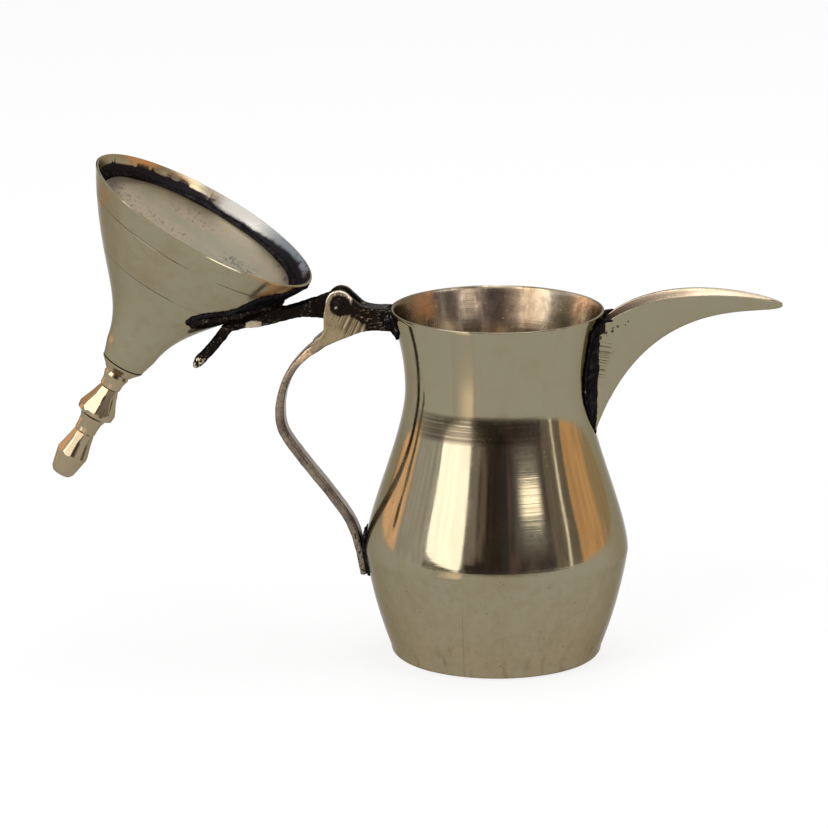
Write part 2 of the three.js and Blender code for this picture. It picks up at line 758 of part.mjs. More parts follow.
// A block of that plan, driven through the bell along the normal of its flank.
function saddleBlock(runShares, widthShares) {
  const low = point(-radiusAt(bell, 0.09 * lidHeight), 0.09 * lidHeight);
  const high = point(-radiusAt(bell, 0.57 * lidHeight), 0.57 * lidHeight);
  const along = high.clone().sub(low).normalize();
  const run = space(along.x, 0, along.y);
  const side = space(0, 1, 0);
  const out = run.clone().cross(side);
  const block = new THREE.ExtrudeGeometry(
    saddlePlan(runShares, widthShares), { depth: lipRadius, bevelEnabled: false },
  );
  const frame = new THREE.Matrix4().makeBasis(run, side, out);
  frame.setPosition(space(-lipRadius, 0, 0).addScaledVector(out, -lipRadius / 2));
  return solid(block.applyMatrix4(frame));
}

// The casting: knuckle and bar, narrowed where it swings between the ears, tail and saddle.
function lidArm() {
  const bar = plate(armOutline(), armWidth);
  const tail = plate(tailOutline(), tailWidth);
  const neck = crossBar(2.05 * knuckleRadius, armWidth + 2 * cutOverrun, pinX, pinAboveLip);
  const wide = new THREE.BoxGeometry(lipRadius, knuckleWidth, lipRadius).translate(pinX, 0, pinAboveLip);
  const sides = neck.subtract(solid(wide));
  const saddle = layer(bell, soldered, soldered + saddleThickness, lidSides).intersect(
    saddleBlock(saddleRunShares, saddleWidthShares),
  );
  return bar
    .subtract(sides)
    .add(tail)
    .subtract(filled(bell, soldered, lidSides))
    .add(saddle)
    .subtract(crossBar(pinRadius + pinClearance, 2 * armWidth, pinX, pinAboveLip));
}

function lidArmSolder() {
  const bed = layer(bell, seatGap, seatGap + solderThickness, lidSides);
  return bed.intersect(saddleBlock(flowRunShares, flowWidthShares));
}

// Finishes.
const brass = { color: 0xb09a66, roughness: 0.18, metalness: 1 };
const castBrass = { color: 0x9a8a5e, roughness: 0.42, metalness: 1 };
const insideBrass = { color: 0xb89a70, roughness: 0.35, metalness: 1 };
const tarnishedBrass = { color: 0x3c342a, roughness: 0.6, metalness: 1 };
const blackSolder = { color: 0x17131a, roughness: 0.55, metalness: 0.6 };

function piece(name, body, finish) {
  const mesh = new THREE.Mesh(skinOf(body), new THREE.MeshStandardMaterial(finish));
  mesh.name = name;
  return mesh;
}

const potBody = new THREE.Group();
potBody.add(
  piece('body_shell', bodyShell(), brass),
  piece('base_disc', baseDisc(), insideBrass),
  piece('base_solder', baseSolder(), blackSolder),
  piece('spout', spout(), brass),
  piece('spout_solder', spoutSolder(), blackSolder),
  piece('handle', handle(), castBrass),
  piece('handle_rim_solder', handleRimSolder(), blackSolder),
  piece('handle_foot_solder', handleFootSolder(), blackSolder),
  piece('hinge_pin', hingePin(), tarnishedBrass),
);

// The lid's pieces are placed about the pin, and the whole swings back by the open angle.
const lidSeat = new THREE.Group();
lidSeat.position.set(pinReach, 0, -pinAboveLip);
lidSeat.add(
  piece('lid_shell', lidShell(), brass),
  piece('lid_disc', lidDisc(), insideBrass),
  piece('lid_disc_solder', lidDiscSolder(), blackSolder),
  piece('finial_collar', finialCollar(), brass),
  piece('finial', finial(), brass),
  piece('lid_arm', lidArm(), tarnishedBrass),
  piece('lid_arm_solder', lidArmSolder(), blackSolder),
);
const lidSwing = new THREE.Group();
lidSwing.position.set(-pinReach, 0, pinHeight);
lidSwing.rotation.y = -openAngle * degree;
lidSwing.add(lidSeat);

const coffeePot = new THREE.Group();
coffeePot.add(potBody, lidSwing);

export default coffeePot;
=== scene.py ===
# %% [markdown]
# # A small brass coffee pot with a hinged, trumpet-shaped lid
# The pot is spun from sheet brass, its spout is folded from sheet, and its handle and lid arm are sand
# cast. The CAD model gives every piece its place and its size. Here each piece gets the fine form that the
# maker's tools leave, and the finish that years of use leave. The scene is in metres, in the CAD model's
# frame.

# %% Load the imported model
import json
import math

import bmesh
import bpy
from mathutils import Matrix, Vector, noise
from mathutils.geometry import interpolate_bezier

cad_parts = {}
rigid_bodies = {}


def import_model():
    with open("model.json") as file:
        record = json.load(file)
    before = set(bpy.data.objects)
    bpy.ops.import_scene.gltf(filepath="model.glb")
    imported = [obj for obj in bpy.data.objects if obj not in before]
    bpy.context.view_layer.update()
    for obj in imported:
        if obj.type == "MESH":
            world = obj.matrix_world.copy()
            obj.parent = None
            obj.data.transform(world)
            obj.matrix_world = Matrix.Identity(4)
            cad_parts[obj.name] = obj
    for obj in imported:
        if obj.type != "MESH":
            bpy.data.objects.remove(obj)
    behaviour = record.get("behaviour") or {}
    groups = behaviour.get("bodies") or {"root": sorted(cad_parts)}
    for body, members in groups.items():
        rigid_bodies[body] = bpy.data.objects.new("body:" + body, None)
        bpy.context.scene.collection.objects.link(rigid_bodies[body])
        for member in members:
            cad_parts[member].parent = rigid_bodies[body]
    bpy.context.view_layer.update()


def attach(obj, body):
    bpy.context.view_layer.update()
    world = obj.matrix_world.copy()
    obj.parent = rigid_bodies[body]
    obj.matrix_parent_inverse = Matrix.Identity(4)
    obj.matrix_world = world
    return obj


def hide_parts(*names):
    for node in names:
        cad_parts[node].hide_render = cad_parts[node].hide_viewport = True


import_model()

# %% [markdown]
# ## The maker's drawing
# The sizes are the CAD source's own, in millimetres, so a piece made here lies exactly on its CAD node. The
# lid's pieces are drawn with the lid closed and its lip circle's centre at the origin, and lid_place swings
# them to the open place, as the CAD does.

# %% Sizes
MM = 0.001
RIM_HEIGHT, RIM_RADIUS = 91.4, 27.5
NECK_HEIGHT, NECK_RADIUS = 71.0, 23.72
BELLY_RADIUS = 34.2
FOOT_RADIUS, FOOT_CORNER, LIP_INSIDE = 27.4, 2.4, 22.6
LIP_RADIUS, LID_HEIGHT, LID_TOP_RADIUS = 31.6, 44.0, 5.8
PIN_REACH, PIN_HEIGHT, PIN_ABOVE_LIP = 40.6, 92.5, 0.8
OPEN_ANGLE = math.radians(150.5)

pin_place = Matrix.Translation((-PIN_REACH, 0, PIN_HEIGHT))
swing_open = Matrix.Rotation(-OPEN_ANGLE, 4, "Y")
lid_place = pin_place @ swing_open @ Matrix.Translation((PIN_REACH, 0, -PIN_ABOVE_LIP))
print("Lid axis in the open place:", [round(value, 3) for value in lid_place.col[2][:3]])

# %% [markdown]
# ## Camera
# The photograph was taken from a little to the right of the front and a little above, with a long lens, so
# the mouth of the pot shows as a flat ellipse and upright lines stay almost parallel. A long lens is a
# large number of millimetres here too, and the camera is turned by aiming it at one point, with a hair of
# roll.

# %% Camera
CAMERA_PLACE, CAMERA_AIM = Vector((0.1114, -1.2440, 0.3798)), Vector((-0.02151, 0, 0.06295))
LENS, SENSOR, FARTHEST, ROLL = 217.08, 36, 20, math.radians(-0.06)
camera = bpy.data.objects.new("studio_camera", bpy.data.cameras.new("studio_camera"))
bpy.context.collection.objects.link(camera)
camera.data.lens = LENS
camera.data.sensor_width = SENSOR
camera.data.clip_end = FARTHEST
camera.location = CAMERA_PLACE
aim = CAMERA_AIM - CAMERA_PLACE
camera.rotation_mode = "QUATERNION"
camera.rotation_quaternion = aim.to_track_quat("-Z", "Y") @ Matrix.Rotation(ROLL, 3, "Z").to_quaternion()
bpy.context.scene.camera = camera
bpy.context.scene.view_settings.view_transform = "Standard"
print("Camera distance:", round(aim.length, 3), "m")

# %% [markdown]
# ## Shader sums in plain Python
# A material is a small calculation on each point of a surface. It could be wired by hand in the node
# editor, but long chains of Math nodes are hard to read there. Here a Wire wraps one socket, so that sums
# on wires read as they would on paper, and each sum adds its own Math node.

# %% Wires
class Wire:
    """The output socket of a node, on a board of nodes."""
    def __init__(self, board, socket):
        self.board, self.socket = board, socket

    def sum(self, operation, *values, clamp=False):
        settings = {"operation": operation, "use_clamp": clamp}
        return self.board.node("ShaderNodeMath", settings, dict(enumerate(values)))

    def __add__(self, other):
        return self.sum("ADD", self, other)

    def __radd__(self, other):
        return self.sum("ADD", other, self)

    def __sub__(self, other):
        return self.sum("SUBTRACT", self, other)

    def __rsub__(self, other):
        return self.sum("SUBTRACT", other, self)

    def __mul__(self, other):
        return self.sum("MULTIPLY", self, other)

    def __pow__(self, other):
        return self.sum("POWER", self, other)

    def __abs__(self):
        return self.sum("ABSOLUTE", self)

    def clamped(self):
        return self.sum("ADD", self, 0.0, clamp=True)

    def sine(self):
        return self.sum("SINE", self)

    def highest(self, other):
        return self.sum("MAXIMUM", self, other)

    def rising(self, low, high):
        """0 below low, 1 above high, and a soft step between them."""
        settings = {"interpolation_type": "SMOOTHSTEP"}
        return self.board.node("ShaderNodeMapRange", settings, {0: self, 1: low, 2: high})

    def band(self, low, high, soft):
        """1 between low and high, 0 outside, with both ends soft."""
        return self.rising(low - soft, low + soft) * (1 - self.rising(high - soft, high + soft))


print("Wires are ready")

# %% [markdown]
# ## Boards and finishes
# A board is a tree of nodes, of the sky or of a material, and its one node method adds any node, with its
# settings set before its inputs. A finish is the board of a material. It has a Principled shader from the
# start, and the patterns that metal needs: clouds for stains, lines for tool marks, cells for pits.

# %% Boards and finishes
class Board:
    def __init__(self, tree):
        self.tree = tree
        tree.nodes.clear()

    def node(self, kind, settings=None, inputs=None, output=0):
        made = self.tree.nodes.new(kind)
        for key, value in (settings or {}).items():
            if key == "stops":
                ramp = made.color_ramp
                while len(ramp.elements) < len(value):
                    ramp.elements.new(1)
                for stop, (position, shade) in zip(ramp.elements, value):
                    stop.position, stop.color = position, (*shade, 1)
            else:
                setattr(made, key, value)
        for key, value in (inputs or {}).items():
            self.join(value, made.inputs[key])
        return Wire(self, made.outputs[output]) if made.outputs else made

    def join(self, value, socket):
        if isinstance(value, Wire):
            self.tree.links.new(value.socket, socket)
        elif socket.type == "RGBA":
            socket.default_value = (*value[:3], 1)
        else:
            socket.default_value = value


class Finish(Board):
    def __init__(self, name, **constants):
        self.material = bpy.data.materials.new(name)
        self.material.use_nodes = True
        super().__init__(self.material.node_tree)
        self.surface = self.node("ShaderNodeBsdfPrincipled")
        self.output = self.node("ShaderNodeOutputMaterial", None, {0: self.surface})
        self.feed(**constants)

    def feed(self, **inputs):
        shader = self.surface.socket.node
        for key, value in inputs.items():
            self.join(value, shader.inputs[key.replace("_", " ")])

    def place(self, turn=(0, 0, 0), shift=(0, 0, 0)):
        """The point on the piece, in metres, turned and then shifted."""
        point = self.node("ShaderNodeTexCoord", output="Object")
        inputs = {"Vector": point, "Rotation": turn, "Location": shift}
        return self.node("ShaderNodeMapping", {"vector_type": "POINT"}, inputs)

    def parts(self, vector):
        first = self.node("ShaderNodeSeparateXYZ", None, {0: vector})
        return [Wire(self, socket) for socket in first.socket.node.outputs]

    def stretched(self, vector, factors):
        return self.node("ShaderNodeVectorMath", {"operation": "MULTIPLY"}, {0: vector, 1: factors})

    def cloud(self, vector, per_metre, detail=3.0, roughness=0.5):
        """Soft noise from 0 to 1, with that many spots in a metre."""
        sizes = {"Scale": per_metre, "Detail": detail, "Roughness": roughness}
        return self.node("ShaderNodeTexNoise", None, {"Vector": vector, **sizes})

    def lines(self, value, per_metre, detail=2.0):
        """Noise along one number only, for tool marks that run straight."""
        sizes = {"Scale": per_metre, "Detail": detail}
        return self.node("ShaderNodeTexNoise", {"noise_dimensions": "1D"}, {"W": value, **sizes})

    def cells(self, vector, per_metre):
        """The distance to the nearest of many scattered points."""
        inputs = {"Vector": vector, "Scale": per_metre}
        return self.node("ShaderNodeTexVoronoi", None, inputs, output="Distance")

    def mixed(self, mask, first, second):
        """The first colour where the mask is 0, the second where it is 1."""
        settings = {"data_type": "RGBA"}
        return self.node("ShaderNodeMix", settings, {0: mask, 6: first, 7: second}, output=2)

    def bumped(self, height, distance):
        return self.node("ShaderNodeBump", None, {"Height": height, "Distance": distance})


print("Finishes are ready")

# %% [markdown]
# ## Floor and sky
# The pot stands on plain white paper under a white sky. To a lamp's light both are ordinary matt white, but
# to the camera and in reflections they are made to glow, so that the paper shows no edge and the brass
# mirrors a clean white. A Light Path node tells the two kinds of ray apart.

# %% Floor and sky
SEEN_WHITE, SKY_LEVEL = 0.82, 0.55
FLOOR_HALF, FLOOR_DROP = 6, 0.0001


def seen_rays(board):
    """1 for rays that the camera, a reflection or glass sends, 0 for the rest."""
    camera_ray, glossy_ray, through_ray = (
        board.node("ShaderNodeLightPath", output=name)
        for name in ("Is Camera Ray", "Is Glossy Ray", "Is Transmission Ray")
    )
    return (camera_ray + glossy_ray + through_ray).clamped()


def placed(name, mesh):
    """Puts a bmesh into the scene as an object, and frees the bmesh."""
    data = bpy.data.meshes.new(name)
    mesh.to_mesh(data)
    mesh.free()
    made = bpy.data.objects.new(name, data)
    bpy.context.collection.objects.link(made)
    return made


sheet = bmesh.new()
bmesh.ops.create_grid(sheet, x_segments=2, y_segments=2, size=FLOOR_HALF)
floor = placed("floor", sheet)
floor.location.z = -FLOOR_DROP

paper = Finish("paper_floor", Base_Color=(0.86, 0.86, 0.86), Roughness=0.9, Specular_IOR_Level=0.1)
glow = paper.node("ShaderNodeEmission", None, {"Color": (1, 1, 1)})
shares = {0: seen_rays(paper) * SEEN_WHITE, 1: paper.surface, 2: glow}
paper.join(paper.node("ShaderNodeMixShader", None, shares), paper.output.inputs[0])
floor.data.materials.append(paper.material)

sky = bpy.data.worlds.new("white_sky")
bpy.context.scene.world = sky
sky.use_nodes = True
air = Board(sky.node_tree)
brightness = seen_rays(air).highest(SKY_LEVEL)
daylight = air.node("ShaderNodeBackground", None, {"Color": (1, 1, 1), "Strength": brightness})
air.node("ShaderNodeOutputWorld", None, {0: daylight})
print("Floor and sky: white to the camera, sky level", SKY_LEVEL, "for the rest")

# %% [markdown]
# ## Cards
# Polished brass is a mirror, so most of its look is the room around it. Modelling a room would be slow, and
# a picture of one isn't needed: curved cards stand round the pot where the room had a window, dark
# furniture and warm wood. A card is a grid bent along the compass, 0 degrees being straight in front. Only
# reflections see the cards, so they neither shade the floor nor stand in any view.

# %% Cards that only reflections see
CARD_DISTANCE, CARD_STEPS, WALL_TOP = 0.9, 12, 0.72
ROOM_LENGTH, LENGTH_ENDS = 0.6, 1.75


def streaked(paint):
    """Upright streaks from 0 to 1, like the folds of a curtain."""
    return paint.cloud(paint.stretched(paint.place(), (1, 1, 0.3)), 16, 4, 0.65).rising(0.36, 0.64)


def card(name, shade, *rows, fade=None, uneven=0.2):
    """A curved card. Each row is a height, the compass angles where it starts and ends, and a distance."""
    mesh = bmesh.new()
    bmesh.ops.create_grid(mesh, x_segments=CARD_STEPS, y_segments=len(rows) - 1, size=0.5)
    for vert in mesh.verts:
        height, start, end, *distance = rows[round((vert.co.y + 0.5) * (len(rows) - 1))]
        turn = math.radians(start + (end - start) * (vert.co.x + 0.5))
        reach = distance[0] if distance else CARD_DISTANCE
        reach /= math.cos(ROOM_LENGTH * min(abs(turn), LENGTH_ENDS))
        vert.co = (math.sin(turn) * reach, -math.cos(turn) * reach, height)
    piece = placed(name, mesh)
    paint = Finish(name, Base_Color=(0, 0, 0), Roughness=1.0, Specular_IOR_Level=0.0, Emission_Strength=1.0)
    if fade:
        lit = fade(paint, shade)
    else:
        darker, lighter = ([part * (1 + step) for part in shade] for step in (-uneven, uneven))
        lit = paint.mixed(streaked(paint), darker, lighter)
    paint.feed(Emission_Color=lit)
    piece.data.materials.append(paint.material)
    piece.visible_camera = piece.visible_diffuse = piece.visible_shadow = False


def compass(paint):
    """The compass angle, the distance along the floor and the height of a point on a card."""
    across, depth, height = paint.parts(paint.place())
    turn = across.sum("ARCTAN2", across, depth * -1) * (180 / math.pi)
    return turn, (across * across + depth * depth) ** 0.5, height


def sheen_fade(paint, shade):
    """Window light on the table, which fades to the left and towards the pot."""
    turn, distance, _ = compass(paint)
    lit = turn.rising(-48, -27) * (1 - turn.rising(-25, -22)) * distance.rising(0.09, 0.24)
    return paint.mixed(lit, (0.96, 0.96, 0.95), shade)


def room_fade(paint, shade):
    """A dim far room with a soft grey glow high up, and a lamp in the middle of the glow."""
    turn, _, height = compass(paint)
    glow = turn.rising(17, 36) * (1 - turn.rising(46, 58)) * height.rising(0.16, 0.36)
    lit = turn.rising(25, 37) * (1 - turn.rising(46, 54)) * height.rising(0.368, 0.4)
    room = paint.mixed(glow, paint.mixed(streaked(paint), ROOM_DARK, ROOM_BROWN), ROOM_GLOW)
    return paint.mixed(lit, room, shade)


ROOM_DARK, ROOM_BROWN, ROOM_GLOW = (0.12, 0.1, 0.11), (0.27, 0.2, 0.21), (0.44, 0.45, 0.5)
card(
    "card_window", (4.2, 4.1, 4.25), (0.03, -31, -27, 0.88), (0.09, -50, -26, 0.88), (0.16, -59, -25.5, 0.88),
    (0.27, -60, -25, 0.88), (0.74, -61, -25, 0.88), uneven=0.06,
)
card("card_sill", (0.4, 0.36, 0.3), (0.0, -62, -22, 0.89), (0.085, -60, -22, 0.89), uneven=0.45)
card("card_sheen", (2.1, 1.75, 1.5), (0.0004, -50, -21, 0.08), (0.0004, -50, -21, 0.86), fade=sheen_fade)
card("card_curtain", (0.5, 0.44, 0.43), (0.13, -24, -14, 0.89), (0.72, -24, -14, 0.89))
card("card_curtain_edge", (0.27, 0.22, 0.2), (0.16, -14, -5, 0.89), (0.72, -14, -5, 0.89), uneven=0.5)
card("card_room", (6.2, 5.7, 5.4), (0.0, 16, 58), (WALL_TOP, 16, 58), fade=room_fade)
card("card_door_edge", (2.3, 2.2, 2.1), (0.0, 71, 73.5, 0.88), (0.5, 73, 75.5, 0.88), uneven=0.4)
WALLS = {
    "card_left_grey": (-95, -24, (0.98, 0.96, 1.0), WALL_TOP),
    "card_dark": (-24, 9, (0.085, 0.066, 0.062), WALL_TOP),
    "card_dark_blue": (9, 16, (0.085, 0.085, 0.1), WALL_TOP),
    "card_brown": (58, 85, (0.4, 0.35, 0.32), WALL_TOP),
    "card_wood_right": (85, 116, (1.5, 0.9, 0.5), 1.2),
    "card_right": (116, 147, (0.95, 0.72, 0.5), 1.0),
    "card_wood_left": (-126, -95, (2.0, 1.3, 0.92), 1.2),
    "card_left": (-150, -126, (0.85, 0.66, 0.52), 1.0),
    "card_back_dark": (-172, -150, (0.2, 0.17, 0.16), 0.9),
}
for name, (start, end, shade, top) in WALLS.items():
    card(name, shade, (0.0, start, end), (top, start, end))
print("Cards:", len(WALLS) + 7)

# %% [markdown]
# ## Lamps
# Lamps could be small and hard like a bulb, but the photograph's light is soft, so three large square lamps
# hang well away from the pot. They add soft shine and a soft shadow to what the sky and the cards give.

# %% Lamps
def lamp(name, place, target, size, watts, tint=(1, 1, 1)):
    data = bpy.data.lights.new(name, "AREA")
    data.shape, data.size, data.energy, data.color = "SQUARE", size, watts, tint
    made = bpy.data.objects.new(name, data)
    bpy.context.collection.objects.link(made)
    made.location = place
    made.rotation_mode = "QUATERNION"
    made.rotation_quaternion = (Vector(target) - Vector(place)).to_track_quat("-Z", "Y")


lamp("lamp_window", (-0.9, -1.1, 1.1), (0, 0, 0.05), 0.9, 14)
lamp("lamp_top", (0.2, 0.3, 1.7), (0, 0, 0), 1.2, 14)
lamp("lamp_right", (1.3, -0.6, 0.9), (0, 0, 0.05), 0.8, 7)
print("Three soft lamps")

# %% [markdown]
# ## Turning on the lathe
# Every round piece starts as a line, its profile, which holds a radius and a height at each point. The line
# is spun about the axis, as the maker's lathe turns sheet brass over a form. Curves use the same control
# points as the CAD, with many more steps, so no facet shows in a mirror finish.

# %% Profile and lathe tools
def curve(start, pull_start, pull_end, end, steps):
    points = [Vector((*point, 0)) for point in (start, pull_start, pull_end, end)]
    return [tuple(point[:2]) for point in interpolate_bezier(*points, steps + 1)]


def corner(start, tip, end, steps):
    """A curve that leaves towards the tip of a corner and arrives from it."""
    def towards(point):
        return tuple(own + (other - own) * 2 / 3 for own, other in zip(point, tip))
    return curve(start, towards(start), towards(end), end, steps)


def chained(*lines):
    points = []
    for line in lines:
        points += [point for point in line if not points or math.dist(point, points[-1]) > 1e-4]
    return points


def beside(profile, distance_at):
    """The profile moved sideways, to its right hand where the distance is above zero."""
    moved = []
    for i, (radius, height) in enumerate(profile):
        before, after = profile[max(i - 1, 0)], profile[min(i + 1, len(profile) - 1)]
        length = math.dist(before, after)
        along = ((after[0] - before[0]) / length, (after[1] - before[1]) / length)
        distance = distance_at(height)
        moved.append((radius + along[1] * distance, height - along[0] * distance))
    return moved


def radius_at(profile, height):
    for (low_radius, low), (high_radius, high) in zip(profile, profile[1:]):
        if low <= height <= high and high > low:
            return low_radius + (high_radius - low_radius) * (height - low) / (high - low)
    return profile[0][0] if height < profile[0][1] else profile[-1][0]


def shaped(name, mesh, body, *nodes, slot, place=Matrix.Identity(4), sharp=35, inside=None):
    """A finished mesh becomes a piece that rides on its body and stands for its CAD nodes."""
    for face in mesh.faces:
        face.material_index = int(bool(inside and inside(face.calc_center_median(), face.normal)))
    mesh.transform(Matrix.Scale(MM, 4) @ place)
    piece = placed(name, mesh)
    piece.data.shade_smooth()
    piece.data.set_sharp_from_angle(angle=math.radians(sharp))
    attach(piece, body)
    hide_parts(*nodes)
    print(name, "faces:", len(piece.data.polygons))
    return piece


def turned(profile, steps, closed=True):
    """A bmesh spun from a profile. A closed profile runs round a wall, an open one ends on the axis."""
    mesh = bmesh.new()
    points = [mesh.verts.new((radius, 0, height)) for radius, height in profile]
    edges = [mesh.edges.new(pair) for pair in zip(points, points[1:])]
    if closed:
        edges.append(mesh.edges.new((points[-1], points[0])))
    bmesh.ops.spin(
        mesh, geom=points + edges, axis=(0, 0, 1), cent=(0, 0, 0), angle=math.tau, steps=steps,
        use_merge=True,
    )
    bmesh.ops.remove_doubles(mesh, verts=mesh.verts, dist=1e-3)
    bmesh.ops.recalc_face_normals(mesh, faces=mesh.faces)
    return mesh


print("Lathe is ready")

# %% [markdown]
# ## Body
# The body is spun from one disc of sheet. Its standing edge is rolled under, its flank swells to a crisp
# ridge, and above the ridge the wall draws in to the neck and flares to the rim. The ridge is a real
# crease: just below it the brass mirrors the table, just above it the dark room. So the fine profile breaks
# there within a millimetre, inside the CAD's rounding.

# %% Body profile
RIDGE_CREASE, WALL_AT_FOOT, WALL_THINS = 28.1, 1.5, 0.6
foot_edge, neck = (FOOT_RADIUS, FOOT_CORNER), (NECK_RADIUS, NECK_HEIGHT)
below_ridge, above_ridge = (34.06, RIDGE_CREASE - 0.7), (34.14, RIDGE_CREASE + 0.7)
shell_outside = chained(
    corner((25.0, 0), (FOOT_RADIUS, 0), foot_edge, 6),
    corner(foot_edge, (31.96, 13.95), below_ridge, 26),
    corner(below_ridge, (BELLY_RADIUS, RIDGE_CREASE), above_ridge, 5),
    curve(above_ridge, (33.3, 39.5), (23.41, 59.21), neck, 46),
    curve(neck, (NECK_RADIUS, 78.55), (25.53, 84.67), (RIM_RADIUS, RIM_HEIGHT - 0.25), 24),
)
shell_inside = [
    point for point in beside(shell_outside, lambda height: -WALL_AT_FOOT + WALL_THINS * height / RIM_HEIGHT)
    if FOOT_CORNER < point[1] < RIM_HEIGHT - 0.6
]
rim_rolled = [
    (27.45, RIM_HEIGHT - 0.08), (27.3, RIM_HEIGHT), (26.9, RIM_HEIGHT), (26.72, RIM_HEIGHT - 0.1),
    (26.6, RIM_HEIGHT - 0.3),
]
foot_rolled = [(LIP_INSIDE + 0.2, 1.5), (LIP_INSIDE, 1.3), (LIP_INSIDE, 0.2), (LIP_INSIDE + 0.2, 0)]
body_profile = chained(shell_outside, rim_rolled, shell_inside[::-1], foot_rolled)
print("Body profile points:", len(body_profile))

# %% [markdown]
# ## Pour holes
# Coffee reaches the spout through a few drilled holes in the body's wall, which hold back the grounds. They
# could be painted on, but the mouth of the pot is open and shows them, so they are cut: a Boolean modifier
# takes a set of thin cylinders out of the spun wall. It runs on a helper object, so nothing live is left on
# the piece.

# %% Body with its pour holes
HOLE_RADIUS, HOLE_SPREAD, HOLE_SIDES, DRILL_LENGTH = 1.45, 2.2, 28, 12
HOLE_ROWS = [(65.8, 1), (70.7, 1), (75.6, 2), (80.5, 2), (85.4, 2)]


def settled(name, mesh, *steps):
    """Runs modifiers on a bmesh and gives back a new bmesh, so nothing live is left on the piece."""
    helper = placed(name, mesh)
    for kind, settings in steps:
        step = helper.modifiers.new(kind, kind)
        for key, value in settings.items():
            setattr(step, key, value)
    evaluated = helper.evaluated_get(bpy.context.evaluated_depsgraph_get())
    data = bpy.data.meshes.new_from_object(evaluated)
    result = bmesh.new()
    result.from_mesh(data)
    bpy.data.objects.remove(helper)
    return result


def cut(mesh, tool, operation="DIFFERENCE"):
    cutter = placed("cutter", tool)
    settings = {"object": cutter, "operation": operation, "solver": "EXACT"}
    result = settled("blank", mesh, ("BOOLEAN", settings))
    bpy.data.objects.remove(cutter)
    return result


drills = bmesh.new()
for height, count in HOLE_ROWS:
    for i in range(count):
        side = (2 * i - (count - 1)) * HOLE_SPREAD
        bmesh.ops.create_cone(
            drills, cap_ends=True, segments=HOLE_SIDES, radius1=HOLE_RADIUS, radius2=HOLE_RADIUS,
            depth=DRILL_LENGTH,
            matrix=Matrix.Translation((NECK_RADIUS, side, height)) @ Matrix.Rotation(math.pi / 2, 4, "Y"),
        )


def faces_axis(centre, normal):
    """True for a face that looks in towards the axis that it was turned about."""
    return centre.x * normal.x + centre.y * normal.y < 0


body_blank = cut(turned(body_profile, 200), drills)
pot_shell = shaped("pot_shell", body_blank, "pot", "body_shell", slot="polished_brass", inside=faces_axis)

# %% [markdown]
# ## Base plate
# The foot is closed by a flat disc that was soldered in, and the solder stands round it as a low ring. A
# cylinder would give both sharp edges. They are round like the body, so the lathe makes them too, from
# profiles whose corners are taken off.

# %% Base plate and its ring of solder
PLATE_PROFILE = [(0, 0.25), (20.9, 0.05), (21.6, 0.05), (21.85, 0.3), (21.88, 1.9), (21.6, 2.15), (0, 2.0)]
PLATE_SOLDER = [(21.7, 0.3), (22.2, 0.16), (22.75, 0.3), (22.75, 1.3), (22.3, 1.75), (21.7, 1.4)]
base_disc = turned(PLATE_PROFILE, 120, closed=False)
base_plate = shaped("base_plate", base_disc, "pot", "base_disc", slot="plain_brass")
base_bead = shaped("base_bead", turned(PLATE_SOLDER, 120), "pot", "base_solder", slot="solder")

# %% [markdown]
# ## Spout
# The beak is one sheet folded to an open trough, wide where it leaves the body and drawn to a point. A
# curve with a bevel would keep one section all along, and this section changes. So two sweeps guide it, its
# upper edge and its keel. A cross-section is laid at each step and the sections are skinned, as a boat is
# planked over its frames. The root is trimmed to the body's own curve.

# %% Spout
def bezier_point(points, share):
    rest = 1 - share
    weights = (rest ** 3, 3 * rest ** 2 * share, 3 * rest * share ** 2, share ** 3)
    return sum((Vector(point) * weight for point, weight in zip(points, weights)), Vector((0, 0, 0)))


SPOUT_TOP, SPOUT_KEEL, SPOUT_DEPTH, SPOUT_REACH, SPOUT_TIP = 88.2, 59.3, 28.9, 73.05, 94.45
edge_root, keel_root = radius_at(shell_outside, SPOUT_TOP), radius_at(shell_outside, SPOUT_KEEL)
SPOUT_EDGE = [
    (edge_root, 5.25, SPOUT_TOP),
    (edge_root + 0.33 * (SPOUT_REACH - edge_root), 5.25 * 1.66, SPOUT_TOP + 0.5 * SPOUT_DEPTH),
    (SPOUT_REACH, 5.25 * 0.38, SPOUT_TIP + 0.034 * SPOUT_DEPTH),
    (SPOUT_REACH, 0.45, SPOUT_TIP),
]
SPOUT_BELLY = [
    (keel_root, 0, SPOUT_KEEL),
    (keel_root + 0.273 * (SPOUT_REACH - keel_root), 0, SPOUT_KEEL + 1.362 * SPOUT_DEPTH),
    (keel_root + 0.922 * (SPOUT_REACH - keel_root), 0, SPOUT_TIP - 0.75 - 0.117 * SPOUT_DEPTH),
    (SPOUT_REACH, 0, SPOUT_TIP - 0.75),
]
SPOUT_WALL, TROUGH_CURVE, TIP_FLOOR = 0.9, 0.72, 0.55
SECTION_STEPS, SPOUT_STEPS, EDGE_ROUNDING = 16, 60, 0.16


def trough_section(share, wall):
    edge, keel = bezier_point(SPOUT_EDGE, share), bezier_point(SPOUT_BELLY, share)
    top = Vector((edge.x, 0, edge.z))
    floor_point = keel.lerp(top, min(TIP_FLOOR, wall / (top - keel).length))
    half = max(edge.y - wall, edge.y * (1 - TIP_FLOOR)) if wall else edge.y
    section = []
    for i in range(-SECTION_STEPS, SECTION_STEPS + 1):
        height = abs(i / SECTION_STEPS) ** 1.5
        at = floor_point.lerp(top, height)
        section.append(Vector((at.x, math.copysign(half * height ** TROUGH_CURVE, i), at.z)))
    return section


def on_shell(point, gap):
    """The point moved along X until it lies that far off the body."""
    radius = radius_at(shell_outside, point.z) + gap
    return Vector((math.sqrt(max(radius ** 2 - point.y ** 2, 0)), point.y, point.z))


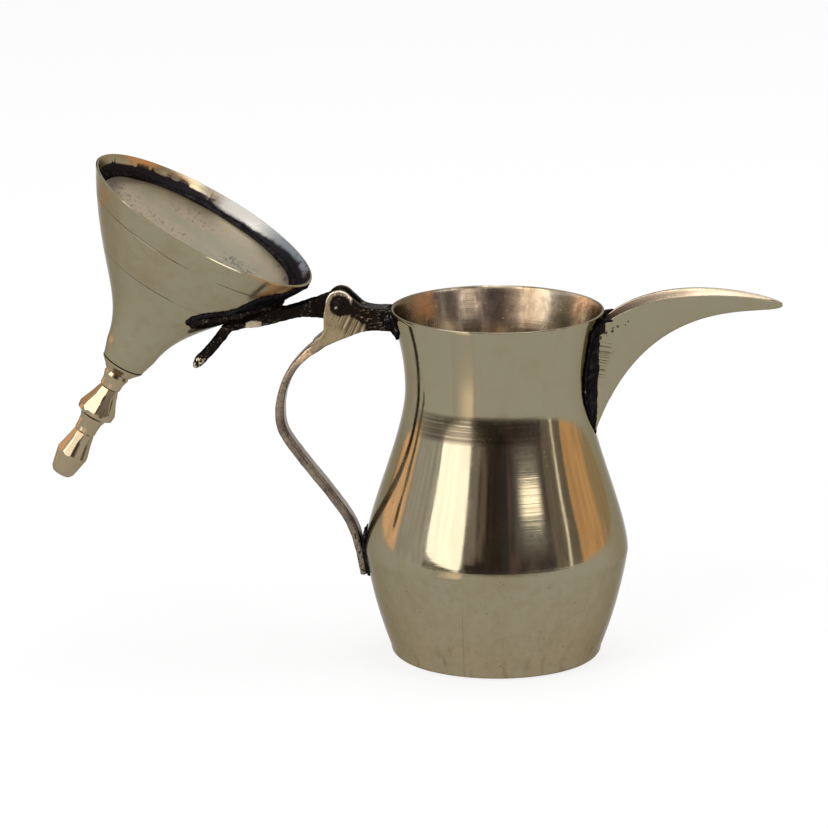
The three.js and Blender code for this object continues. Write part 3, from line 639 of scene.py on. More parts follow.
def partner(vert, made):
    """The vertex that an extrusion has just made from this one."""
    return next(edge.other_vert(vert) for edge in vert.link_edges if edge.other_vert(vert) in made)


def skinned(rings):
    """A closed skin over rings of points, one extrusion for each ring."""
    mesh = bmesh.new()
    line = [mesh.verts.new(point) for point in rings[0]]
    for ring in rings[1:]:
        edges = [mesh.edges.get(pair) or mesh.edges.new(pair) for pair in zip(line, line[1:] + line[:1])]
        made = set(bmesh.ops.extrude_edge_only(mesh, edges=edges)["geom"])
        line = [partner(vert, made) for vert in line]
        for vert, point in zip(line, ring):
            vert.co = point
    for end in (mesh.verts[:len(rings[0])], line):
        edges = [mesh.edges.get(pair) for pair in zip(end, list(end[1:]) + [end[0]])]
        bmesh.ops.triangle_fill(mesh, use_beauty=True, use_dissolve=False, edges=edges)
    bmesh.ops.recalc_face_normals(mesh, faces=mesh.faces)
    return mesh


print("Spout from", round(edge_root, 2), "to", SPOUT_REACH, "mm")

# %% Spout skin
spout_rings = []
for i in range(SPOUT_STEPS + 1):
    share = i / SPOUT_STEPS
    outer, inner = trough_section(share, 0), trough_section(share, SPOUT_WALL)
    if i == 0:
        outer, inner = ([on_shell(point, 0.12) for point in line] for line in (outer, inner))
    spout_rings.append(outer + inner[::-1])
spout_mesh = skinned(spout_rings)
rims = [
    edge for edge in spout_mesh.edges
    if len(edge.link_faces) == 2 and edge.calc_face_angle() > math.radians(50) and edge.verts[0].co.x > 26
]
bmesh.ops.bevel(
    spout_mesh, geom=rims, offset=EDGE_ROUNDING, segments=3, affect="EDGES", profile=0.5, material=-1,
)


def faces_trough(centre, normal):
    return centre.y * normal.y < -1e-3 or (abs(centre.y) < 0.3 and normal.z > 0)


pot_spout = shaped(
    "pot_spout", spout_mesh, "pot", "spout", slot="polished_brass", sharp=50, inside=faces_trough,
)

# %% [markdown]
# ## Solder round the spout
# Black solder was run along the seam and never cleaned off. It climbs the wall of the spout, creeps a few
# millimetres over the body, and freezes in lumps. A sculpted mesh could show it, but code repeats better:
# the seam is skinned like the spout, one small cross-section at each step from the left edge down round the
# keel and up to the right edge. A voxel remesh then melts it together with a few drops, and noise makes it
# lumpy.

# %% Melting tools
def joined(*meshes):
    whole = bmesh.new()
    for mesh in meshes:
        data = bpy.data.meshes.new("part_form")
        mesh.to_mesh(data)
        mesh.free()
        whole.from_mesh(data)
        bpy.data.meshes.remove(data)
    return whole


def cast(mesh, voxel, rounds):
    """Melts overlapping forms to one skin and softens it."""
    return settled(
        "melt", mesh, ("REMESH", {"mode": "VOXEL", "voxel_size": voxel}),
        ("SMOOTH", {"factor": 0.5, "iterations": rounds}),
    )


def egg(place, sizes):
    mesh = bmesh.new()
    bmesh.ops.create_uvsphere(mesh, u_segments=40, v_segments=24, radius=1)
    mesh.transform(Matrix.Translation(place) @ Matrix.Diagonal((*sizes, 1)))
    return mesh


def filled(profile, gap, top):
    """A turned outside as one solid, for trimming what lies on it."""
    skin = beside(profile, lambda height: gap)
    return turned([(0, -6), (skin[0][0], -6)] + skin + [(skin[-1][0], top), (0, top)], 160, closed=False)


def lumpy(mesh, size, height, seed):
    """Moves every point along its normal by soft noise."""
    mesh.normal_update()
    for vert in mesh.verts:
        step = noise.noise(vert.co / size + Vector((seed, 0, 0))) * height
        vert.co += vert.normal * step


print("Melting tools are ready")

# %% Spout solder
SEAM_CLIMB, SEAM_WIDE, ABOVE_BODY = 0.002, 3.2, 99
seam = [on_shell(point, 0.0) for point in trough_section(0, 0)]
seam_rings = []
for i, point in enumerate(seam):
    before, after = seam[max(i - 1, 0)], seam[min(i + 1, len(seam) - 1)]
    out = Vector((point.x, point.y, 0)).normalized()
    along = (after - before).normalized()
    away = out.cross(along).normalized()
    if away.dot(point - Vector((point.x, 0, 80))) < 0 and abs(point.y) > 0.5:
        away.negate()
    if abs(point.y) <= 0.5:
        away = Vector((0, 0, -1))
    rise = min(max((point.z - 60) / 10, 0), 1)
    top = min(max((point.z - 83.5) / 4, 0), 1)
    wide = 0.5 + SEAM_WIDE * rise + 0.8 * noise.noise(point / 1.7) + 0.8 * top
    climb = SEAM_CLIMB + 0.014 * max(noise.noise(point / 1.3 + Vector((9, 0, 0))), 0)
    up = trough_section(climb, 0)[i]
    seam_rings.append([
        point - away * 0.8 - out * 0.3, up - away * 0.4, up + away * 0.14, point.lerp(up, 0.5) + away * 0.5,
        point + away * (0.3 + wide * 0.2) + out * 0.6, point + away * wide * 0.65 + out * 0.42,
        point + away * wide + out * 0.12, point + away * wide * 0.9 - out * 0.35,
    ])
seam_mesh = skinned(seam_rings)
bmesh.ops.subdivide_edges(seam_mesh, edges=seam_mesh.edges, cuts=2, use_grid_fill=True, smooth=0.6)
DROPS = [((27.1, 5.1, 88.4), (1.3, 0.7, 2.2)), ((28.7, 5.5, 90.2), (1.8, 0.5, 0.6))]
for side in (-1, 1):
    for (across, depth, height), sizes in DROPS:
        seam_mesh = joined(seam_mesh, egg((across, side * depth, height), sizes))
seam_mesh = cut(cast(seam_mesh, 0.2, 4), filled(shell_outside, -0.3, ABOVE_BODY))
lumpy(seam_mesh, 1.1, 0.2, 3)
spout_seam = shaped("spout_seam", seam_mesh, "pot", "spout_solder", slot="solder", sharp=80)

# %% [markdown]
# ## Lid
# The trumpet is spun like the body, much thinner at the lip. A flat disc closes its mouth a few millimetres
# up, soldered all round, and a tapered collar joins the knob to its narrow end. All of them are turned from
# profiles with the lid closed, where heights are easy to read, and lid_place then swings them open. Only
# the solder isn't quite round: noise that follows the compass lets it swell and sink.

# %% Trumpet, disc and collar
BELL_WAIST = (7.0, 40.04)
bell_outside = chained(
    curve((LIP_RADIUS, 0.25), (19.5, 22.94), (8.92, 27.27), BELL_WAIST, 60),
    [(LID_TOP_RADIUS, LID_HEIGHT - 0.05)],
)
bell_inside = [
    point for point in beside(bell_outside, lambda height: -0.8) if 0.7 < point[1] < LID_HEIGHT - 1.2
]
bell_top = [(LID_TOP_RADIUS - 0.3, LID_HEIGHT), (1.5, LID_HEIGHT), (1.5, LID_HEIGHT - 0.8)]
bell_line = chained([(31.0, 0.0), (31.4, 0.02)], bell_outside, bell_top, bell_inside[::-1], [(30.82, 0.25)])
bell = turned(bell_line, 180)
lid_trumpet = shaped(
    "lid_trumpet", bell, "lid", "lid_shell", slot="polished_brass", place=lid_place, inside=faces_axis,
)

DISC_PROFILE = [
    (0, 4.2), (8, 4.22), (16, 4.28), (24, 4.25), (27.0, 4.2), (27.2, 4.35), (27.2, 4.8), (26.9, 5.0),
    (0, 5.0),
]
disc = turned(DISC_PROFILE, 140, closed=False)
lid_plate = shaped("lid_plate", disc, "lid", "lid_disc", slot="plain_brass", place=lid_place)

# %% Ring of solder and collar
BEAD_PROFILE = [(26.9, 4.3), (27.2, 4.0), (27.9, 3.65), (28.7, 3.55), (29.2, 3.7), (28.6, 5.0), (27.1, 4.9)]
BEAD_CREST, BEAD_INNER = 4.15, 27.6
bead = turned(BEAD_PROFILE, 220)
for vert in bead.verts:
    turn = math.atan2(vert.co.y, vert.co.x)
    ripple = noise.noise(Vector((math.cos(turn) * 3.2, math.sin(turn) * 3.2, 5)))
    if vert.co.z < BEAD_CREST:
        vert.co.z -= 0.25 + 0.55 * ripple
        vert.co.xy *= 1 - 0.012 * (ripple + 0.3) if vert.co.xy.length < BEAD_INNER else 1.0
lumpy(bead, 0.9, 0.1, 8)
lid_bead = shaped("lid_bead", bead, "lid", "lid_disc_solder", slot="solder", place=lid_place, sharp=80)

COLLAR_PROFILE = [
    (1.45, 44.15), (5.5, 44.15), (5.8, 44.3), (5.72, 44.6), (5.3, 45.1), (4.75, 45.7), (4.2, 46.3),
    (3.85, 46.85), (3.65, 47.0), (1.45, 47.0),
]
collar = turned(COLLAR_PROFILE, 96)
lid_collar = shaped("lid_collar", collar, "lid", "finial_collar", slot="polished_brass", place=lid_place)

# %% [markdown]
# ## Knob
# The knob was turned to two bulges and then taken to the file: eight flats run up each flare, and where
# they meet they leave crisp edges that catch the light. An eight-sided mesh would lose the round beads
# between them. So the turned mesh is made fine enough to be pressed against an eight-sided taper, point by
# point.

# %% Knob
KNOB_FOOT, KNOB_LENGTH, KNOB_RADIUS, BEAD_STEPS = 47.15, 31.59, 5.1, 5
KNOB_HEIGHTS = [
    0, .03, .08, .15, .22, .28, .345, .4, .425, .47, .53, .6, .665, .73, .79, .81, .85, .91, .965, .99, 1,
]
KNOB_RADII = [
    .62, .67, .57, .545, .64, .79, .99, .96, .72, .6, .56, .56, .63, .73, .83, .81, .76, .69, .61, .5, 0,
]
KNOB_FLATS = [(0.15, 0.37, 0.5, 0.99, 3), (0.58, 0.8, 0.53, 0.87, 9)]
KNOB_PEG = [(0, 40.0), (2.35, 40.0), (2.35, 40.7), (1.3, 40.8), (1.3, 47.15)]


def file_flats(mesh, low, high, low_radius, high_radius, start):
    """Presses the flare between two heights against eight flats, none of them quite even."""
    for vert in mesh.verts:
        share = (vert.co.z - KNOB_FOOT) / KNOB_LENGTH
        if low < share < high:
            across = (low_radius + (high_radius - low_radius) * (share - low) / (high - low)) * KNOB_RADIUS
            around = (math.atan2(vert.co.y, vert.co.x) + math.radians(start)) % math.tau
            flat, turn = divmod(around, math.pi / 4)
            uneven = noise.noise(Vector((flat * 1.7, low * 9, 2))) * 0.09
            lean = noise.noise(Vector((flat * 1.3, low * 5, 7))) * 0.2
            across *= 1 + uneven * (share - low) / (high - low)
            reach = across * math.cos(math.pi / 8) / math.cos(turn - math.pi / 8 + lean * 0.4)
            if vert.co.xy.length > reach:
                vert.co.xy *= reach / vert.co.xy.length


knob_points = [
    (KNOB_RADIUS * radius, KNOB_FOOT + KNOB_LENGTH * share) for share, radius in zip(KNOB_HEIGHTS, KNOB_RADII)
]
knob_line = []
for (radius, height), (next_radius, next_height) in zip(knob_points, knob_points[1:]):
    for i in range(BEAD_STEPS):
        out, up = (next_radius - radius) * i / BEAD_STEPS, (next_height - height) * i / BEAD_STEPS
        knob_line.append((radius + out, height + up))
knob_line.append(knob_points[-1])
knob = turned(KNOB_PEG + knob_line, 144, closed=False)
for flats in KNOB_FLATS:
    file_flats(knob, *flats)
lid_knob = shaped("lid_knob", knob, "lid", "finial", slot="polished_brass", place=lid_place, sharp=22)

# %% [markdown]
# ## Castings
# The handle and the lid arm are sand castings, so their edges are soft and their skin is a little rough. A
# mesh with every fillet drawn would be long work. Each is put together instead from a few simple forms that
# overlap, plates sawn to a side view and bars drawn along a line. A voxel remesh melts them to one skin,
# and smoothing rounds every edge, as sand does.

# %% Casting tools
def smooth_line(points, steps):
    """A soft line through all points, with steps between each pair."""
    line = []
    for i in range(len(points) - 1):
        before, here = points[max(i - 1, 0)], points[i]
        there, after = points[i + 1], points[min(i + 2, len(points) - 1)]
        leave = tuple(h + (t - b) / 6 for b, h, t in zip(before, here, there))
        arrive = tuple(t - (a - h) / 6 for h, t, a in zip(here, there, after))
        line = chained(line, curve(here, leave, arrive, there, steps))
    return line


def arc(centre, radius, start, end, steps):
    turns = [math.radians(start + (end - start) * i / steps) for i in range(steps + 1)]
    return [(centre[0] + radius * math.cos(turn), centre[1] + radius * math.sin(turn)) for turn in turns]


def doubled(outline):
    """A flat face and a copy of it, joined by walls. The copy's corners come back too, to be moved."""
    mesh = bmesh.new()
    corners = [mesh.verts.new(point) for point in outline]
    edges = [mesh.edges.new(pair) for pair in zip(corners, corners[1:] + corners[:1])]
    bmesh.ops.triangle_fill(mesh, use_beauty=True, use_dissolve=False, edges=edges)
    made = bmesh.ops.extrude_face_region(mesh, geom=mesh.faces[:])["geom"]
    return mesh, [item for item in made if isinstance(item, bmesh.types.BMVert)]


def sawn(outline, half_at):
    """A plate sawn to a side view. Its half width follows the place in the side view."""
    mesh, copied = doubled([(x, -half_at(x, z), z) for x, z in outline])
    for vert in copied:
        vert.co.y = half_at(vert.co.x, vert.co.z)
    bmesh.ops.recalc_face_normals(mesh, faces=mesh.faces)
    return mesh


RING_STEPS = 40


def drawn_bar(line, thickness_at, half_width_at, roundness=0.55):
    """A bar with rounded corners along a line in the side view."""
    rings = []
    for i, (x, z) in enumerate(line):
        before, after = line[max(i - 1, 0)], line[min(i + 1, len(line) - 1)]
        length = math.dist(before, after)
        across = Vector((-(after[1] - before[1]) / length, 0, (after[0] - before[0]) / length))
        share = i / (len(line) - 1)
        half_thick, half_wide = thickness_at(share) / 2, half_width_at(share)
        ring = []
        for step in range(RING_STEPS):
            turn = math.tau * step / RING_STEPS
            circle = (math.cos(turn), math.sin(turn))
            wide, thick = (math.copysign(abs(part) ** roundness, part) for part in circle)
            ring.append(Vector((x, 0, z)) + across * half_thick * thick + Vector((0, half_wide * wide, 0)))
        rings.append(ring)
    return skinned(rings)


print("Foundry is ready")

# %% [markdown]
# ## Handle
# One casting: two ears with the slot for the knuckle, a bar to the rim, and a slender strap that swings
# out, comes back to the belly and lies down on it in a small foot. Ears and bar are one plate in the side
# view, so they are sawn, and a second plate cuts the slot. The strap bends and changes its width, so it is
# drawn along a line.

# %% Handle
EAR_RADIUS, EAR_HALF, STRAP_HALF, FOOT_HALF, BAR_HALF = 3.45, 3.9, 2.4, 3.2, 3.0
BAR_TOP, BAR_HEIGHT, FOOT_BOTTOM, FOOT_LENGTH, FOOT_THICK = 91.35, 5.9, 20.2, 11.5, 1.8
HANDLE_REACH = 56.3
BAR_FOOT = BAR_TOP - BAR_HEIGHT


def from_pin(ears, bars):
    return (-PIN_REACH + ears * EAR_RADIUS, bars)


web_line = chained(
    arc((-PIN_REACH, PIN_HEIGHT), EAR_RADIUS, 180, 35, 26),
    smooth_line([
        from_pin(0.82, PIN_HEIGHT + 1.98), from_pin(1.25, BAR_TOP + 0.32 * BAR_HEIGHT),
        from_pin(1.6, BAR_TOP + 0.15 * BAR_HEIGHT), from_pin(2, BAR_TOP + 0.04 * BAR_HEIGHT),
        (-LIP_RADIUS, BAR_TOP),
    ], 5),
    [(-NECK_RADIUS, BAR_TOP), (-NECK_RADIUS, BAR_FOOT), (-RIM_RADIUS, BAR_FOOT)],
    smooth_line([
        (-RIM_RADIUS, BAR_FOOT), from_pin(2.85, BAR_FOOT), from_pin(1.7, BAR_FOOT - 0.06 * BAR_HEIGHT),
        from_pin(0.4, BAR_FOOT - 0.36 * BAR_HEIGHT), from_pin(-0.85, BAR_FOOT - 0.7 * BAR_HEIGHT),
        from_pin(-1.65, BAR_FOOT - 1.03 * BAR_HEIGHT),
    ], 5),
    [from_pin(-2.15, BAR_FOOT - 0.65 * BAR_HEIGHT)],
    smooth_line([
        from_pin(-1.65, BAR_FOOT - 0.38 * BAR_HEIGHT), from_pin(-1.2, BAR_FOOT - 0.1 * BAR_HEIGHT),
        from_pin(-1.13, BAR_FOOT + 0.35 * BAR_HEIGHT), from_pin(-1.15, BAR_FOOT + 0.7 * BAR_HEIGHT),
    ], 5),
)


def between(value, stops):
    """A number read off a line through (place, value) stops."""
    for (low, low_value), (high, high_value) in zip(stops, stops[1:]):
        if value <= high:
            share = min(max((value - low) / (high - low), 0), 1)
            return low_value + (high_value - low_value) * share
    return stops[-1][1]


EAR_FOOT = PIN_HEIGHT - 2.6 * EAR_RADIUS
WIDTH_BY_HEIGHT = [(EAR_FOOT - 2.2 * EAR_RADIUS, STRAP_HALF), (EAR_FOOT, EAR_HALF)]
WIDTH_BY_REACH = [
    (-PIN_REACH + 1.2 * EAR_RADIUS, EAR_HALF), (-PIN_REACH + 2.6 * EAR_RADIUS, BAR_HALF),
    (-NECK_RADIUS, EAR_HALF),
]


def web_half(x, z):
    return min(between(z, WIDTH_BY_HEIGHT), between(x, WIDTH_BY_REACH))


def strap_seat(height):
    return -radius_at(shell_outside, height) - 0.7 - FOOT_THICK / 2


print("Points round the ears and the bar:", len(web_line))

# %% Strap
STRAP_TOP, STRAP_FOOT = BAR_TOP - 1.85 * BAR_HEIGHT, FOOT_BOTTOM + FOOT_LENGTH
FOOT_BEND = FOOT_BOTTOM + 0.65 * FOOT_LENGTH


def strap_point(out_share, height_share):
    reach = strap_seat(STRAP_FOOT) + (-HANDLE_REACH - strap_seat(STRAP_FOOT)) * out_share
    return (reach, STRAP_FOOT + (STRAP_TOP - STRAP_FOOT) * height_share)


strap_line = smooth_line([
    (-PIN_REACH - 1.4 * EAR_RADIUS, strap_point(0, 1.02)[1]),
    (-PIN_REACH - 2.48 * EAR_RADIUS, strap_point(0, 0.965)[1]),
    strap_point(0.835, 0.88), strap_point(0.955, 0.77), strap_point(1, 0.638), strap_point(0.948, 0.53),
    strap_point(0.74, 0.4), strap_point(0.405, 0.22), strap_point(0.139, 0.06),
    (strap_seat(FOOT_BEND), FOOT_BEND), (strap_seat(FOOT_BOTTOM), FOOT_BOTTOM),
], 9)
STRAP_THICK = [
    (0, 2.4), (0.05, 2.6), (0.1, 2.3), (0.16, 2.0), (0.3, 2.1), (0.4, 2.5), (0.8, 2.45),
    (1, FOOT_THICK + 0.2),
]
STRAP_WIDE = [(0, 3.6), (0.05, 3.4), (0.17, 2.55), (0.8, 2.55), (0.9, FOOT_HALF), (1, FOOT_HALF)]
strap = drawn_bar(
    strap_line, lambda share: between(share, STRAP_THICK), lambda share: between(share, STRAP_WIDE),
    roundness=0.32,
)
print("Points along the strap:", len(strap_line))

# %% Slot and casting
SLOT_RADIUS, SLOT_LEDGE, SLOT_HALF = 3.8, PIN_HEIGHT - 4.7, 2.0
slot_end, slot_top = -PIN_REACH - 3 * SLOT_RADIUS, PIN_HEIGHT + 2 * SLOT_RADIUS
slot_line = arc((-PIN_REACH, PIN_HEIGHT), SLOT_RADIUS, -18, -98, 18) + [
    (-PIN_REACH - 0.6 * SLOT_RADIUS, SLOT_LEDGE), (slot_end, SLOT_LEDGE), (slot_end, slot_top),
    (-LIP_RADIUS, slot_top), (-LIP_RADIUS, BAR_TOP),
]
handle_form = cut(sawn(web_line, web_half), sawn(slot_line, lambda x, z: SLOT_HALF))
handle_form = joined(cut(handle_form, filled(shell_outside, 0.35, ABOVE_BODY)), strap)
handle_cast = cast(handle_form, 0.26, 5)
lumpy(handle_cast, 2.2, 0.07, 1)
handle_casting = shaped("handle_casting", handle_cast, "pot", "handle", slot="cast_brass", sharp=80)

# %% [markdown]
# ## Hinge rivet
# The pin is a plain bar whose two ends were hammered over to low heads. It is turned upright on the lathe
# like the other round pieces, and then laid across, on the hinge's axis.

# %% Hinge rivet
RIVET_HEAD = [(1.25, 3.9), (1.6, 3.95), (1.5, 4.1), (0.95, 4.35), (0, 4.45)]
rivet_line = [(radius, -height) for radius, height in RIVET_HEAD[::-1]] + RIVET_HEAD
rivet = turned(rivet_line, 48, closed=False)
rivet.transform(pin_place @ Matrix.Rotation(math.pi / 2, 4, "X"))
hinge_rivet = shaped("hinge_rivet", rivet, "pot", "hinge_pin", slot="cast_brass", sharp=60)

# %% [markdown]
# ## Solder of the handle
# A rough black patch holds the bar under the rim, and a flatter one lies round the foot. Loose lumps would
# not follow the pot. So both start as a thin layer of the body's own skin, of which a simple form keeps one
# patch, and are then melted and made lumpy.

# %% Handle solder
def patch_on(profile, low, high, form):
    """The part of a thin turned layer, from low to high above a profile, that lies inside a form."""
    outside, inside = (beside(profile, lambda height, gap=gap: gap) for gap in (high, low))
    return cut(turned(outside + inside[::-1], 160), form, "INTERSECT")


shell_upper = [point for point in shell_outside if point[1] > 10]
rim_form = egg((-RIM_RADIUS, 0, BAR_TOP - 0.6 * BAR_HEIGHT), (6.8, 10.4, 4.9))
RIM_LUMPS = [
    ((-26.6, 0, 89.3), (4.3, 6.6, 2.2)), ((-25.2, 0, 87.0), (2.7, 6.8, 3.5)),
    ((-27.3, 0, 87.5), (2.7, 5.4, 2.1)),
]
rim_thin = patch_on(shell_upper, -0.2, 0.7, rim_form)
rim_thick = cast(joined(*(egg(place, sizes) for place, sizes in RIM_LUMPS)), 0.3, 8)
rim_patch = cast(joined(rim_thin, cut(rim_thick, filled(shell_outside, -0.2, ABOVE_BODY))), 0.28, 6)
lumpy(rim_patch, 1.9, 0.3, 5)
rim_solder = shaped("rim_solder", rim_patch, "pot", "handle_rim_solder", slot="solder", sharp=80)

FOOT_PATCH = (20, 7.6, 12.2)
foot_place = Matrix.Translation((-BELLY_RADIUS, 0, FOOT_BOTTOM + 0.3 + FOOT_LENGTH / 2))
foot_form = bmesh.new()
bmesh.ops.create_cube(foot_form, size=1)
foot_form.transform(foot_place @ Matrix.Diagonal((*FOOT_PATCH, 1)))
foot_patch = cast(patch_on(shell_upper, -0.2, 0.75, foot_form), 0.28, 6)
lumpy(foot_patch, 0.9, 0.22, 7)
foot_solder = shaped("foot_solder", foot_patch, "pot", "handle_foot_solder", slot="solder", sharp=80)

# %% [markdown]
# ## Lid arm
# A second casting: the knuckle on the pin, a bar, a thumb tail that stands beside the trumpet, and a saddle
# whose two lobes lie on the trumpet's flank. Knuckle and bar are sawn, the tail is drawn, and the saddle is
# a patch of the trumpet's own skin like the solder, so it hugs the bell exactly. The solder round it is a
# wider patch.

# %% Lid arm
PIN_X, SETBACK, KNUCKLE_RADIUS = -PIN_REACH, 9.0, 3.4


def arm_point(x_share, z_share):
    return (PIN_X + x_share * SETBACK, PIN_ABOVE_LIP + z_share * SETBACK)


knuckle = (PIN_X, PIN_ABOVE_LIP)
arm_line = chained(
    arc(knuckle, KNUCKLE_RADIUS, 110, 345, 40),
    smooth_line([
        arc(knuckle, KNUCKLE_RADIUS, 345, 345, 1)[0], arm_point(0.7, 0.32), arm_point(1.08, 0.77),
        arm_point(1.3, 0.99),
    ], 5),
    [arm_point(1.9, 1.3), arm_point(2.75, 2.35)],
    smooth_line([
        arm_point(2.3, 2.4), arm_point(2.04, 2.11), arm_point(1.55, 1.74), arm_point(1.07, 1.25),
        arm_point(0.76, 0.96), arm_point(0.46, 0.77), arm_point(0.2, 0.68),
    ], 5),
    [(PIN_X + 0.09, PIN_ABOVE_LIP + 4.4 + 0.72)],
)
NECK_SWING = 2.05 * KNUCKLE_RADIUS
ARM_WIDTHS = [(NECK_SWING, 1.7), (NECK_SWING + 0.8, 2.4)]


def arm_half(x, z):
    return between(math.hypot(x - PIN_X, z - PIN_ABOVE_LIP), ARM_WIDTHS)


TAIL_LENGTH, TAIL_THICK, TAIL_HALF = 14.6, 2.7, 2.2
tail_root = (PIN_X + 2.4 * SETBACK, PIN_ABOVE_LIP + 2.2 * SETBACK)
tail_tip = (tail_root[0] + 0.18 * TAIL_LENGTH, tail_root[1] + TAIL_LENGTH)
tail_bend = (tail_root[0] + 0.02 * TAIL_LENGTH, tail_root[1] + 0.4 * TAIL_LENGTH)
tail_line = corner(tail_root, tail_bend, tail_tip, 40)


def tail_thickness(share):
    return TAIL_THICK * math.sqrt(max(0.12, 1 - max(0, (share - 0.88) / 0.12) ** 2))


print("Points round the arm:", len(arm_line))

# %% Saddle and arm casting
SADDLE_RUN = [0.29, 0.3, 0.33, 0.41, 0.51, 0.65, 0.76, 0.86, 0.94, 1, 0.94, 0.85, 0.76, 0.7, 0.67, 0.66]
SADDLE_WIDTH = [0, 0.3, 0.55, 0.73, 0.86, 0.91, 0.97, 0.99, 0.95, 0.88, 0.85, 0.83, 0.85, 0.76, 0.45, 0]
FLOW_RUN = [0.03, 0.04, 0.16, 0.27, 0.37, 0.53, 0.66, 0.76, 0.86, 0.96, 1.02, 0.94, 0.84, 0.75, 0.7, 0.69]
FLOW_WIDTH = [0, 0.53, 0.78, 1, 1.06, 0.99, 0.97, 1.03, 1.03, 0.97, 0.85, 0.81, 0.79, 0.8, 0.5, 0]
SADDLE_LENGTH, SADDLE_HALF, BLOCK_DEPTH, BLOCK_HEIGHT, ABOVE_BELL = 31.0, 16.0, 6, 22, 50


def flank_point(share):
    """A point on the trumpet's left outline, at a share of its height."""
    return Vector((-radius_at(bell_outside, share * LID_HEIGHT), 0, share * LID_HEIGHT))


flank_low, flank_high = flank_point(0.09), flank_point(0.57)
flank_along = (flank_high - flank_low).normalized()
flank_out = flank_along.cross(Vector((0, 1, 0)))


def saddle_block(runs, widths):
    """A tall block over the flank, whose plan is half the saddle's outline and its mirror image."""
    half = smooth_line([(run * SADDLE_LENGTH, width * SADDLE_HALF) for run, width in zip(runs, widths)], 4)
    plan = half + [(run, -width) for run, width in half[-2:0:-1]]
    origin = Vector((-LIP_RADIUS, 0, 0)) - flank_out * BLOCK_DEPTH
    mesh, copied = doubled([origin + flank_along * run + Vector((0, width, 0)) for run, width in plan])
    bmesh.ops.translate(mesh, verts=copied, vec=flank_out * BLOCK_HEIGHT)
    bmesh.ops.recalc_face_normals(mesh, faces=mesh.faces)
    return mesh


arm_bar = cut(sawn(arm_line, arm_half), filled(bell_outside, 0.4, ABOVE_BELL))
tail_bar = drawn_bar(tail_line, tail_thickness, lambda share: TAIL_HALF)
arm_tail = cut(tail_bar, filled(bell_outside, 0.5, ABOVE_BELL))
saddle = patch_on(bell_outside, 0.45, 1.6, saddle_block(SADDLE_RUN, SADDLE_WIDTH))
arm_cast = cast(joined(arm_bar, arm_tail, saddle), 0.25, 4)
lumpy(arm_cast, 1.3, 0.16, 4)
lumpy(arm_cast, 0.5, 0.07, 9)
arm_casting = shaped(
    "arm_casting", arm_cast, "lid", "lid_arm", slot="tarnished_brass", place=lid_place, sharp=80,
)

flow = cast(patch_on(bell_outside, -0.3, 0.6, saddle_block(FLOW_RUN, FLOW_WIDTH)), 0.28, 5)
lumpy(flow, 1.4, 0.25, 6)
arm_flow = shaped("arm_flow", flow, "lid", "lid_arm_solder", slot="solder", place=lid_place, sharp=80)

# %% [markdown]
# ## Polished brass
# Brass that was polished long ago is an olive mirror, so its colour is dark and its look comes from
# reflections. The lathe's lines stay in it and smear each reflection upwards and downwards: fine noise
# along the height does that, as a very low bump. Hands leave faint stains, damp leaves small dark pits, and
# each piece has marks of its own, which a marks function adds: it takes the colour, the roughness and the
# relief, and gives them back changed.

# %% Polished brass
BRASS, BRASS_STAIN, PIT = (0.268, 0.238, 0.158), (0.235, 0.185, 0.11), (0.05, 0.035, 0.02)
BRASS_WARM, BRASS_ROSE, BRASS_BROWN = (0.3, 0.225, 0.135), (0.36, 0.29, 0.21), (0.15, 0.105, 0.055)
KNOB_BRASS = (0.31, 0.25, 0.16)
BRASS_ORANGE, CUP_ORANGE, CUP_BROWN = (0.36, 0.19, 0.085), (0.38, 0.21, 0.1), (0.08, 0.06, 0.045)
# Colours across the inside of the mouth, left to right: painted reflections and painted shade, in bands.
CUP_REFLECTION_STOPS = [
    (0.0, (0.17, 0.16, 0.13)), (0.19, (0.15, 0.135, 0.115)), (0.25, (0.36, 0.3, 0.22)),
    (0.3, (0.12, 0.1, 0.075)), (0.36, (0.13, 0.105, 0.075)), (0.42, (0.58, 0.46, 0.34)),
    (0.5, (0.42, 0.33, 0.24)), (0.56, (0.34, 0.26, 0.17)), (0.62, (0.17, 0.12, 0.07)),
    (0.72, (0.34, 0.28, 0.19)), (0.86, (0.4, 0.38, 0.31)), (1.0, (0.48, 0.42, 0.32)),
]


